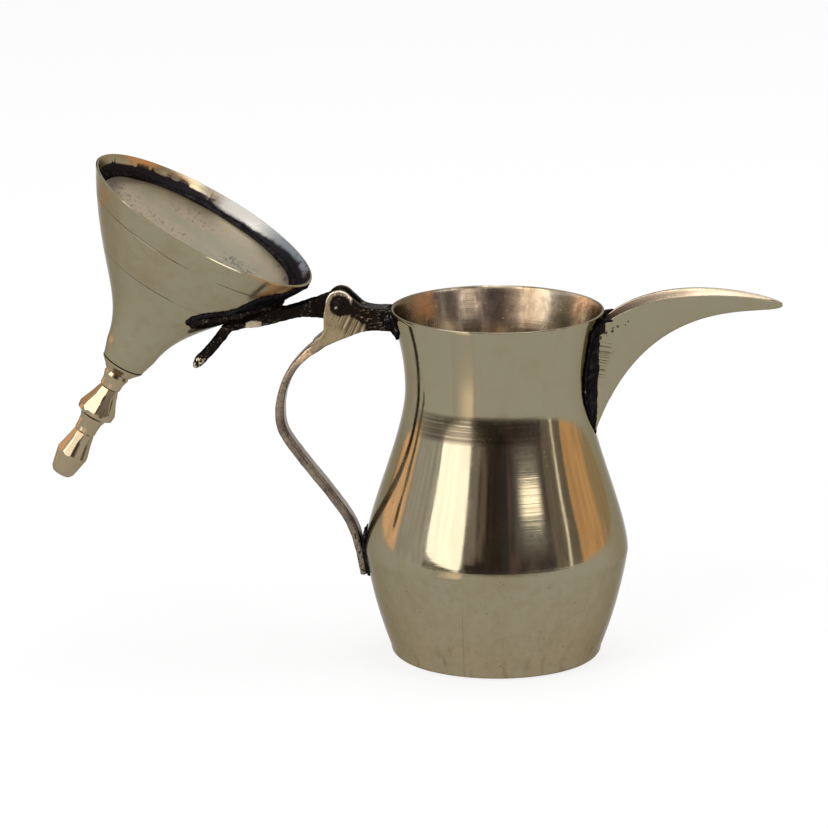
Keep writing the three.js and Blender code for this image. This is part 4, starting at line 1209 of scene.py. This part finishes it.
def polished_brass(name, turn=(0, 0, 0), shift=(0, 0, 0), shine=0.12, lines=1.0, scuffs=0.1, marks=None,
                   bright=BRASS):
    finish = Finish(name, Metallic=1.0, Specular_Tint=(0.55, 0.53, 0.48, 1))
    point = finish.place(turn, shift)
    across, depth, height = finish.parts(point)
    stain = finish.cloud(point, 55, 5, 0.62).rising(0.48, 0.74)
    film = finish.cloud(finish.stretched(point, (1, 1, 0.35)), 130, 4, 0.6).rising(0.5, 0.72)
    pits = (1 - finish.cells(point, 560).rising(0.05, 0.11)) * finish.cloud(point, 60, 2).rising(0.58, 0.66)
    specks = (1 - finish.cells(point, 1500).rising(0.06, 0.16)) * finish.cloud(point, 90, 3).rising(0.5, 0.62)
    haze = finish.cloud(finish.stretched(point, (1, 1, 3.5)), 1400, 4, 0.6).rising(0.42, 0.7)
    haze = haze * finish.cloud(point, 75, 3, 0.6).rising(0.4, 0.62)
    colour = finish.mixed(stain * 0.6 + film * 0.2, bright, BRASS_STAIN)
    fine = finish.lines(height, 2400, 2)
    coarse = finish.lines(height + finish.cloud(point, 20, 1) * 0.0002, 620, 3)
    hair = finish.cloud(finish.stretched(point, (1, 1, 25)), 420, 3)
    wave = finish.cloud(point, 70, 2)
    relief = coarse * (0.8 * lines) + fine * (0.35 * lines) + hair * 0.2 - pits * 3 + wave * 5
    rough = shine + stain * 0.04 + film * 0.03 + haze * scuffs + pits * 0.3
    if marks:
        colour, rough, relief = marks(finish, point, across, depth, height, colour, rough, relief)
    colour = finish.mixed((pits * 0.9 + specks * 0.3).clamped(), colour, PIT)
    finish.feed(Base_Color=colour, Roughness=rough, Normal=finish.bumped(relief, 0.0000095))
    return finish.material

# %% Marks on the body
def stains_and_painted_band(finish, point, across, depth, height, colour, rough, relief):
    """Dirt stays below the ridge, where damp marks creep up a thin crack. The shoulder's front has painted
    shade.
    """
    low = 1 - height.rising(0.0265, 0.0285)
    cloud = finish.cloud(finish.stretched(point, (1, 1, 0.5)), 150, 5, 0.65)
    mottle = finish.cloud(point, 420, 5, 0.68)
    damp = (1 - (height + (cloud - 0.5) * 0.03).rising(0.004, 0.026)) * cloud.rising(0.42, 0.68)
    warm = (1 - height.rising(0.0, 0.03)) * 0.35
    smudge = finish.cloud(finish.stretched(point, (1, 1, 0.16)), 330, 4, 0.62).rising(0.52, 0.7)
    smudge = smudge * (1 - height.rising(0.004, 0.017)) * 0.5
    specks = (1 - finish.cells(point, 330).rising(0.05, 0.12)) * finish.cloud(point, 70, 2).rising(0.45, 0.6)
    # Painted shade: a dark band of lathe lines on the shoulder's front only, dimming the window's reflection.
    painted_dark_band = height.band(0.0614, 0.068, 0.0007) * across.band(-0.0175, 0.012, 0.004)
    painted_dark_band = painted_dark_band * depth.rising(0.0, -0.01)
    painted_dark_band = painted_dark_band * finish.lines(height + cloud * 0.0006, 1700, 2).rising(0.1, 0.6)
    crack = across.band(-0.0059, -0.0057, 0.00012) * depth.rising(0.001, -0.001)
    crack = crack * (1 - height.rising(0.014, 0.024))
    colour = finish.mixed((damp * 0.4 + warm).clamped(), colour, BRASS_WARM)
    colour = finish.mixed(painted_dark_band * 0.8, colour, PIT)
    colour = finish.mixed(low * mottle.rising(0.4, 0.68) * 0.45, colour, BRASS_STAIN)
    colour = finish.mixed(low * (smudge + specks * 0.6 + crack * 0.5).clamped(), colour, BRASS_BROWN)
    rough = rough + low * (0.05 + mottle * 0.09) + damp * 0.08 + painted_dark_band * 0.1
    return colour, rough, relief + low * mottle * 1.2


def cup_marks(finish, point, across, depth, height, colour, rough, relief):
    """Bands of painted reflection and shade cross the inside; coffee tarnish streaks run down it, most at the
    sides.
    """
    streak = finish.cloud(finish.stretched(point, (1, 1, 0.14)), 300, 4, 0.62)
    blotch = finish.cloud(point, 420, 5, 0.68)
    side = abs(across)
    patch = (side + (blotch - 0.5) * 0.006).band(0.0175, 0.0235, 0.0012) * blotch.rising(0.4, 0.66)
    shadow = (across + (streak - 0.5) * 0.004).band(-0.0163, -0.0128, 0.0006)
    # Painted reflections: the colour is read off the ramp by the place across the mouth.
    stop = across * 18 + 0.5 + (streak - 0.5) * 0.16
    colour = finish.node("ShaderNodeValToRGB", {"stops": CUP_REFLECTION_STOPS}, {0: stop})
    colour = finish.mixed(blotch.rising(0.42, 0.66) * 0.35, colour, CUP_BROWN)
    colour = finish.mixed(patch * 0.45, colour, CUP_ORANGE)
    colour = finish.mixed((shadow * 0.5 + streak.rising(0.58, 0.7) * 0.3).clamped(), colour, CUP_BROWN)
    return colour, rough + patch * 0.14 + blotch * 0.05, relief + patch
print("Marks of the body:", 2)

# %% Marks on the lid and the spout
def scribed(finish, point, across, depth, height, colour, rough, relief):
    """Two thin lines the maker scribed round the trumpet; by the lip, warm brown and a painted reflection."""
    line = height.band(0.0061, 0.0063, 0.00011).highest(height.band(0.0178, 0.018, 0.0001) * 0.6)
    broken = finish.cloud(point, 45, 2).rising(0.38, 0.5)
    warm_cloud = finish.cloud(point, 170, 4, 0.6)
    # Painted reflection of the arm and the body at the hinge end of the lip; the far end is warm brown too.
    painted_reflection_at_hinge = (across * -1 + (warm_cloud - 0.5) * 0.006).rising(0.0208, 0.0222)
    far_end = (across + (warm_cloud - 0.5) * 0.004).rising(0.0232, 0.0242) * height.rising(0.001, 0.002) * 0.8
    warm_lip_ends = (painted_reflection_at_hinge + far_end) * (1 - (height + (warm_cloud - 0.5) * 0.006).rising(0.006, 0.0085))
    warm_lip_ends = warm_lip_ends * height.rising(0.0003, 0.0006)
    colour = finish.mixed(warm_lip_ends * 0.8, colour, BRASS_ORANGE)
    colour = finish.mixed(warm_lip_ends * warm_cloud.rising(0.55, 0.62) * 0.8, colour, CUP_BROWN)
    mottle = finish.cloud(point, 300, 5, 0.66).rising(0.45, 0.7)
    colour = finish.mixed(mottle * 0.4, colour, BRASS_STAIN)
    colour = finish.mixed(line * broken * 0.75, colour, PIT)
    return colour, rough + line * 0.2 + warm_lip_ends * 0.1, relief - line * 12 * broken


def seam_marks(finish, point, across, depth, height, colour, rough, relief):
    """Burnt pits along the seam, and short strokes of the file that trimmed it."""
    root = across - 0.0262 - (height - 0.076).highest(0.0) * 0.26
    chain = abs(height - 0.0859 - (across - 0.0272) * 0.6)
    nearness = 1 - (across - 0.0275).rising(-0.001, 0.009)
    spots = 1 - (finish.cells(point, 900) - nearness * 0.3).rising(0.16, 0.22)
    spots = spots * (1 - chain.rising(0.0005, 0.001)) * (1 - across.rising(0.036, 0.038))
    fine_pits = (1 - finish.cells(point, 1500).rising(0.08, 0.16)) * (1 - root.rising(0.001, 0.006)) * 0.6
    stroke_end = 1 - (root + (finish.cloud(point, 900, 2) - 0.5) * 0.002).rising(0.0012, 0.0026)
    strokes = finish.lines(height + across * 0.16, 1400, 1).rising(0.52, 0.58)
    strokes = strokes * stroke_end * height.band(0.0745, 0.0845, 0.001)
    dark = (spots + fine_pits + strokes * 0.6).clamped()
    return finish.mixed(dark * 0.85, colour, PIT), rough + dark * 0.25, relief - dark * 6


BLUE_GREY, BLUE_BLACK = (0.2, 0.23, 0.27), (0.03, 0.035, 0.055)
SOOT, TIN = (0.015, 0.013, 0.016), (0.74, 0.7, 0.64)


def mouth_marks(finish, point, across, depth, height, colour, rough, relief):
    """Tin silvers the middle of the wall. Heat left soot at the far end and a blue bloom at the hinge."""
    cloud = finish.cloud(point, 200, 4, 0.6)
    streak = finish.cloud(finish.stretched(point, (1, 1, 0.2)), 260, 3, 0.6)
    wander = (cloud - 0.5) * 0.008
    far_side = (across + wander).rising(-0.001, 0.005)
    tinned = (across + wander).band(-0.018, 0.001, 0.005)
    hinge_side = (across * -1 + wander).rising(0.009, 0.022)
    hinge_end = (across * -1 + wander).rising(0.0245, 0.0275)
    creeping = (across * -1 + wander).rising(0.008, 0.024) * 0.0013
    edge = (height + (cloud - 0.5) * 0.0014 + creeping).rising(0.0023, 0.0034)
    blotches = far_side * streak.rising(0.48, 0.58) * (height + (cloud - 0.5) * 0.002).rising(0.0006, 0.0013)
    colour = finish.mixed(tinned * 0.85, colour, TIN)
    colour = finish.mixed(far_side * streak.rising(0.4, 0.6) * 0.5, colour, BRASS_ORANGE)
    colour = finish.mixed(hinge_side * 0.85, colour, BLUE_GREY)
    colour = finish.mixed(hinge_end * cloud.rising(0.4, 0.52), colour, BLUE_BLACK)
    soot = (edge + blotches * 0.85 + far_side * (height + wander * 0.1).rising(0.0016, 0.0021)).clamped()
    return finish.mixed(soot, colour, SOOT), rough + soot * 0.3, relief


print("Marks of the spout and the lid:", 3)

# %% Polished pieces
LID_TURN, LID_SHIFT = (0, OPEN_ANGLE, 0), (-0.121486, 0, 0.061315)
KNOB_LOOK = {"shine": 0.17, "lines": 0.4, "scuffs": 0.0, "bright": KNOB_BRASS}
POLISH = [
    (pot_shell, "body_brass", {"shine": 0.07, "scuffs": 0.12, "marks": stains_and_painted_band}),
    (pot_shell, "body_inside_brass", {"shine": 0.15, "lines": 2.6, "marks": cup_marks}),
    (pot_spout, "spout_brass", {"shine": 0.16, "lines": 0.3, "marks": seam_marks}),
    (pot_spout, "spout_inside_brass", {"shine": 0.2, "lines": 0.3, "bright": BRASS_ROSE}),
    (lid_trumpet, "lid_brass", {"shine": 0.13, "marks": scribed}),
    (lid_collar, "lid_collar_brass", KNOB_LOOK),
    (lid_knob, "lid_knob_brass", KNOB_LOOK),
    (lid_trumpet, "lid_mouth_brass", {"shine": 0.2, "marks": mouth_marks}),
]
for piece, name, look in POLISH:
    moved = (LID_TURN, LID_SHIFT) if name.startswith("lid") else ()
    piece.data.materials.append(polished_brass(name, *moved, **look))
print("Polished finishes:", len(POLISH))

# %% [markdown]
# ## Plain brass of the discs
# The disc in the lid and the plate in the foot were never polished: they are pinkish, satin, and pitted,
# and darker towards the edge, next to the solder. A pit is a small dark spot where a point of the cell
# pattern is near, and a second, larger cloud lets pits appear only here and there.

# %% Plain brass
DISC_BRASS, DISC_PINK, DISC_DARK = (0.22, 0.198, 0.115), (0.32, 0.245, 0.155), (0.05, 0.033, 0.024)


def plain_brass(name, turn=(0, 0, 0), shift=(0, 0, 0)):
    finish = Finish(name, Metallic=1.0)
    point = finish.place(turn, shift)
    across, depth, height = finish.parts(point)
    reach = (across * across + depth * depth) ** 0.5
    cloud = finish.cloud(point, 90, 5, 0.65)
    edge = (reach + (cloud - 0.5) * 0.006 + across.rising(0.012, 0.026) * 0.0022).rising(0.0235, 0.0275)
    cluster = across.band(-0.0185, -0.0085, 0.0015) * depth.band(-0.015, -0.002, 0.0015)
    sparse = (finish.cloud(point, 75, 2).rising(0.58, 0.64) + cluster).clamped()
    pits = (1 - (finish.cells(point, 520) + cloud * 0.2).rising(0.2, 0.27)) * sparse
    scratch_lines = finish.cloud(finish.stretched(point, (6, 1.5, 3)), 220, 4, 0.6)
    nicks = (scratch_lines + cluster * 0.06).rising(0.59, 0.62) * sparse
    colour = finish.mixed(cloud.rising(0.35, 0.7), DISC_BRASS, DISC_PINK)
    colour = finish.mixed(scratch_lines.rising(0.42, 0.62) * 0.4, colour, DISC_BRASS)
    colour = finish.mixed((edge * 0.8 + pits * 0.85 + nicks * 0.75).clamped(), colour, DISC_DARK)
    finish.feed(
        Base_Color=colour, Roughness=0.36 + cloud * 0.12 + edge * 0.15 + pits * 0.2,
        Normal=finish.bumped(cloud * 0.6 + scratch_lines * 0.3 - pits, 0.00004),
    )
    return finish.material


lid_plate.data.materials.append(plain_brass("lid_plate_brass", LID_TURN, LID_SHIFT))
base_plate.data.materials.append(plain_brass("base_plate_brass"))
print("Plain discs:", 2)

# %% [markdown]
# ## Black solder
# The solder has burnt to a purplish black crust, rough and pitted, with a bright scratch here and there
# where a tool has touched it. Clouds of two sizes make the crust, in colour and in bump alike, and a
# stretched cloud with only its peaks kept makes the scratches.

# %% Solder
CRUST, CRUST_GREY, BARE_METAL = (0.011, 0.0095, 0.01), (0.029, 0.026, 0.029), (0.4, 0.36, 0.29)


def black_solder(name, worn=0.3):
    finish = Finish(name, Metallic=1.0, Specular_Tint=(0.2, 0.19, 0.2, 1))
    point = finish.place()
    lump = finish.cloud(point, 500, 5, 0.65)
    grain = finish.cloud(point, 2400, 3)
    pits = 1 - finish.cells(point, 900).rising(0.1, 0.35)
    drawn_out = finish.cloud(finish.stretched(point, (1, 5, 1)), 500, 4, 0.7)
    scar = drawn_out.rising(0.72 - 0.1 * worn, 0.76 - 0.1 * worn)
    colour = finish.mixed(lump.rising(0.45, 0.7), CRUST, CRUST_GREY)
    finish.feed(
        Base_Color=finish.mixed(scar, colour, BARE_METAL),
        Roughness=0.46 + grain * 0.25 - scar * 0.2,
        Normal=finish.bumped(lump * 0.8 + grain * 0.2 - pits * 0.5, 0.0002),
    )
    return finish.material


crust = black_solder("solder_crust")
rough_crust = black_solder("solder_crust_scratched", 1.0)
for piece in (spout_seam, foot_solder, lid_bead, base_bead, arm_flow):
    piece.data.materials.append(crust)
rim_solder.data.materials.append(rough_crust)
print("Solder pieces:", 6)

# %% [markdown]
# ## Cast brass of the handle
# The strap is smooth olive-brown from handling. Towards the ears the tarnish is nearly black, because no
# cloth reaches there, and the web below the ears shows bright diagonal file marks. Painting by hand would
# need a flat unwrapped map. Instead each region is a mask, worked out from the place on the casting with a
# ragged edge.

# %% Cast brass
STRAP_BRASS, STRAP_BROWN, STRAP_GOLD = (0.205, 0.17, 0.125), (0.115, 0.092, 0.07), (0.62, 0.43, 0.25)
WEB_BRASS, WEB_BRIGHT, WEB_BROWN = (0.265, 0.215, 0.125), (0.7, 0.62, 0.45), (0.08, 0.06, 0.04)
TARNISH, STRAP_RIDGES = (0.012, 0.009, 0.007), 4200
PIN_MARK = (-0.0399, 0, 0.0919)


def cast_brass():
    finish = Finish("handle_brass", Metallic=1.0)
    point = finish.place()
    across, depth, height = finish.parts(point)
    cloud = finish.cloud(point, 160, 5, 0.6)
    grain = finish.cloud(point, 1500, 3)
    rough_edge = (cloud - 0.5) * 0.003 + (grain - 0.5) * 0.0012
    from_pin_x, from_pin_z = across - PIN_MARK[0], height - PIN_MARK[2]
    from_pin_mark = (from_pin_x * from_pin_x + from_pin_z * from_pin_z) ** 0.5
    outer_face = abs(depth).rising(0.0031, 0.0034)
    web = height.rising(0.0795, 0.082)
    inner_dark = 1 - (from_pin_mark + rough_edge).rising(0.0026, 0.003)
    above_line = (height + across * 0.36 + rough_edge).rising(0.0750, 0.0757)
    bar_dark = ((across + height * 0.35 + rough_edge * 1.5).rising(-0.0045, -0.0028)
                + above_line * (across + rough_edge).rising(-0.0385, -0.0375))
    slot_dark = (1 - outer_face) * (height + rough_edge).rising(0.0868, 0.0885)
    rim_reach = ((across + 0.0406) * (across + 0.0406) + (height - 0.0925) * (height - 0.0925)) ** 0.5
    crescent = (rim_reach + rough_edge * 0.5).rising(0.0028, 0.0031) * height.rising(0.092, 0.0945) * web
    crescent = crescent * depth.rising(-0.0028, -0.0032) * (1 - across.rising(-0.0375, -0.0368))
    dark = (web * (inner_dark + bar_dark + slot_dark) - crescent).clamped()
    file_marks = finish.lines(across * 0.9 - height * 0.42 + (cloud - 0.5) * 0.0005, 1350, 2)
    filed = web * outer_face * (across + height * 0.3 + rough_edge).rising(-0.0148, -0.0128)
    scratches = finish.cloud(finish.stretched(point, (1, 1, 3.5)), 620, 3, 0.6).rising(0.57, 0.63)
    scratches = scratches * across.rising(-0.037, -0.033)
    colour = finish.mixed(cloud.rising(0.4, 0.7), STRAP_BRASS, STRAP_BROWN)
    colour = finish.mixed(grain.rising(0.52, 0.66) * 0.5, colour, TARNISH)
    colour = finish.mixed(web * outer_face, colour, WEB_BRASS)
    faint = file_marks.rising(0.48, 0.56) * grain.rising(0.4, 0.6) * 0.35
    colour = finish.mixed(web * outer_face * faint, colour, WEB_BROWN)
    colour = finish.mixed(filed * file_marks.rising(0.46, 0.53) * 0.8, colour, WEB_BROWN)
    colour = finish.mixed(filed * (1 - file_marks.rising(0.38, 0.45)) * 0.6, colour, STRAP_GOLD)
    colour = finish.mixed((dark * (1 - scratches * 0.8)).clamped(), colour, TARNISH)
    colour = finish.mixed(crescent * 0.8, colour, WEB_BRIGHT)
    # Fine ridges along the strap's upper part: real in the relief, painted brighter gold as highlights.
    top = height.rising(0.068, 0.077) * (1 - height.rising(0.0815, 0.084))
    worn_ridge_highlights = (depth * STRAP_RIDGES + cloud * 3).sine().rising(0.1, 0.7) * top * grain.rising(0.35, 0.6)
    foot = (1 - height.rising(0.03, 0.036)) * grain.rising(0.5, 0.58)
    colour = finish.mixed(worn_ridge_highlights * 0.75, colour, STRAP_GOLD)
    colour = finish.mixed(foot * 0.7, colour, TARNISH)
    ridges = (depth * STRAP_RIDGES).sine() * height.rising(0.055, 0.072) * (1 - web)
    relief = cloud * 0.4 + grain * 0.15 + ridges * 0.45 - filed * file_marks * 0.6 - foot * 0.4 + worn_ridge_highlights * 0.2
    finish.feed(
        Base_Color=colour, Roughness=0.26 + cloud * 0.14 + dark * 0.25 - crescent * 0.1,
        Normal=finish.bumped(relief, 0.0001),
    )
    return finish.material


handle_casting.data.materials.append(cast_brass())
print("The handle's brass is finished")

# %% [markdown]
# ## Tarnished brass of the arm
# The arm and the rivet were near the fire and far from the cloth, so they are black, with olive where the
# crust is worn. A file has bared one small patch on the arm, and fingers have bared the tip of the tail.
# Fine glints over both, and a small bright spot on the rivet's head, are painted highlights.

# %% Tarnished brass of the arm
ARM_BLACK, ARM_OLIVE, ARM_BRIGHT = (0.01, 0.008, 0.007), (0.085, 0.072, 0.05), (0.5, 0.44, 0.31)
# The rivet's patch is a painted highlight: a small bright spot on its head.
FILED_ARM, RIVET_HIGHLIGHT = ((-0.0647, -0.0607), (0.083, 0.0872)), ((-0.0414, -0.0408), (0.0913, 0.0919))


def tarnished_brass(name, patch):
    finish = Finish(name, Metallic=1.0, Specular_Tint=(0.15, 0.14, 0.12, 1))
    point = finish.place()
    across, depth, height = finish.parts(point)
    cloud = finish.cloud(point, 260, 5, 0.65)
    grain = finish.cloud(point, 1300, 4, 0.6)
    worn = (cloud * 0.5 + grain * 0.5).rising(0.53, 0.64)
    # Painted highlights: fine bright glints scattered over the black.
    painted_glint = finish.cloud(point, 2600, 2).rising(0.68, 0.74) * cloud.rising(0.5, 0.6) * 0.6
    colour = finish.mixed(worn, ARM_BLACK, ARM_OLIVE)
    (low_x, high_x), (low_z, high_z) = patch
    edge = (cloud - 0.5) * 0.002 + (grain - 0.5) * 0.002
    # On the arm this is a filed patch; on the rivet it is a painted highlight.
    filed = (across + edge).band(low_x, high_x, 0.0002) * (height + edge).band(low_z, high_z, 0.0002)
    tip = 1 - (height + edge).rising(0.0768, 0.078)
    bright = (painted_glint + filed * grain.rising(0.25, 0.4) * 0.8 + tip * grain.rising(0.5, 0.6)).clamped()
    colour = finish.mixed(bright, colour, ARM_BRIGHT)
    finish.feed(
        Base_Color=colour, Roughness=0.52 - worn * 0.12 - bright * 0.2 + grain * 0.1,
        Normal=finish.bumped(cloud * 0.4 + grain * 0.6, 0.00022),
    )
    return finish.material


arm_casting.data.materials.append(tarnished_brass("arm_tarnish", FILED_ARM))
hinge_rivet.data.materials.append(tarnished_brass("rivet_tarnish", RIVET_HIGHLIGHT))
print("Castings are finished")
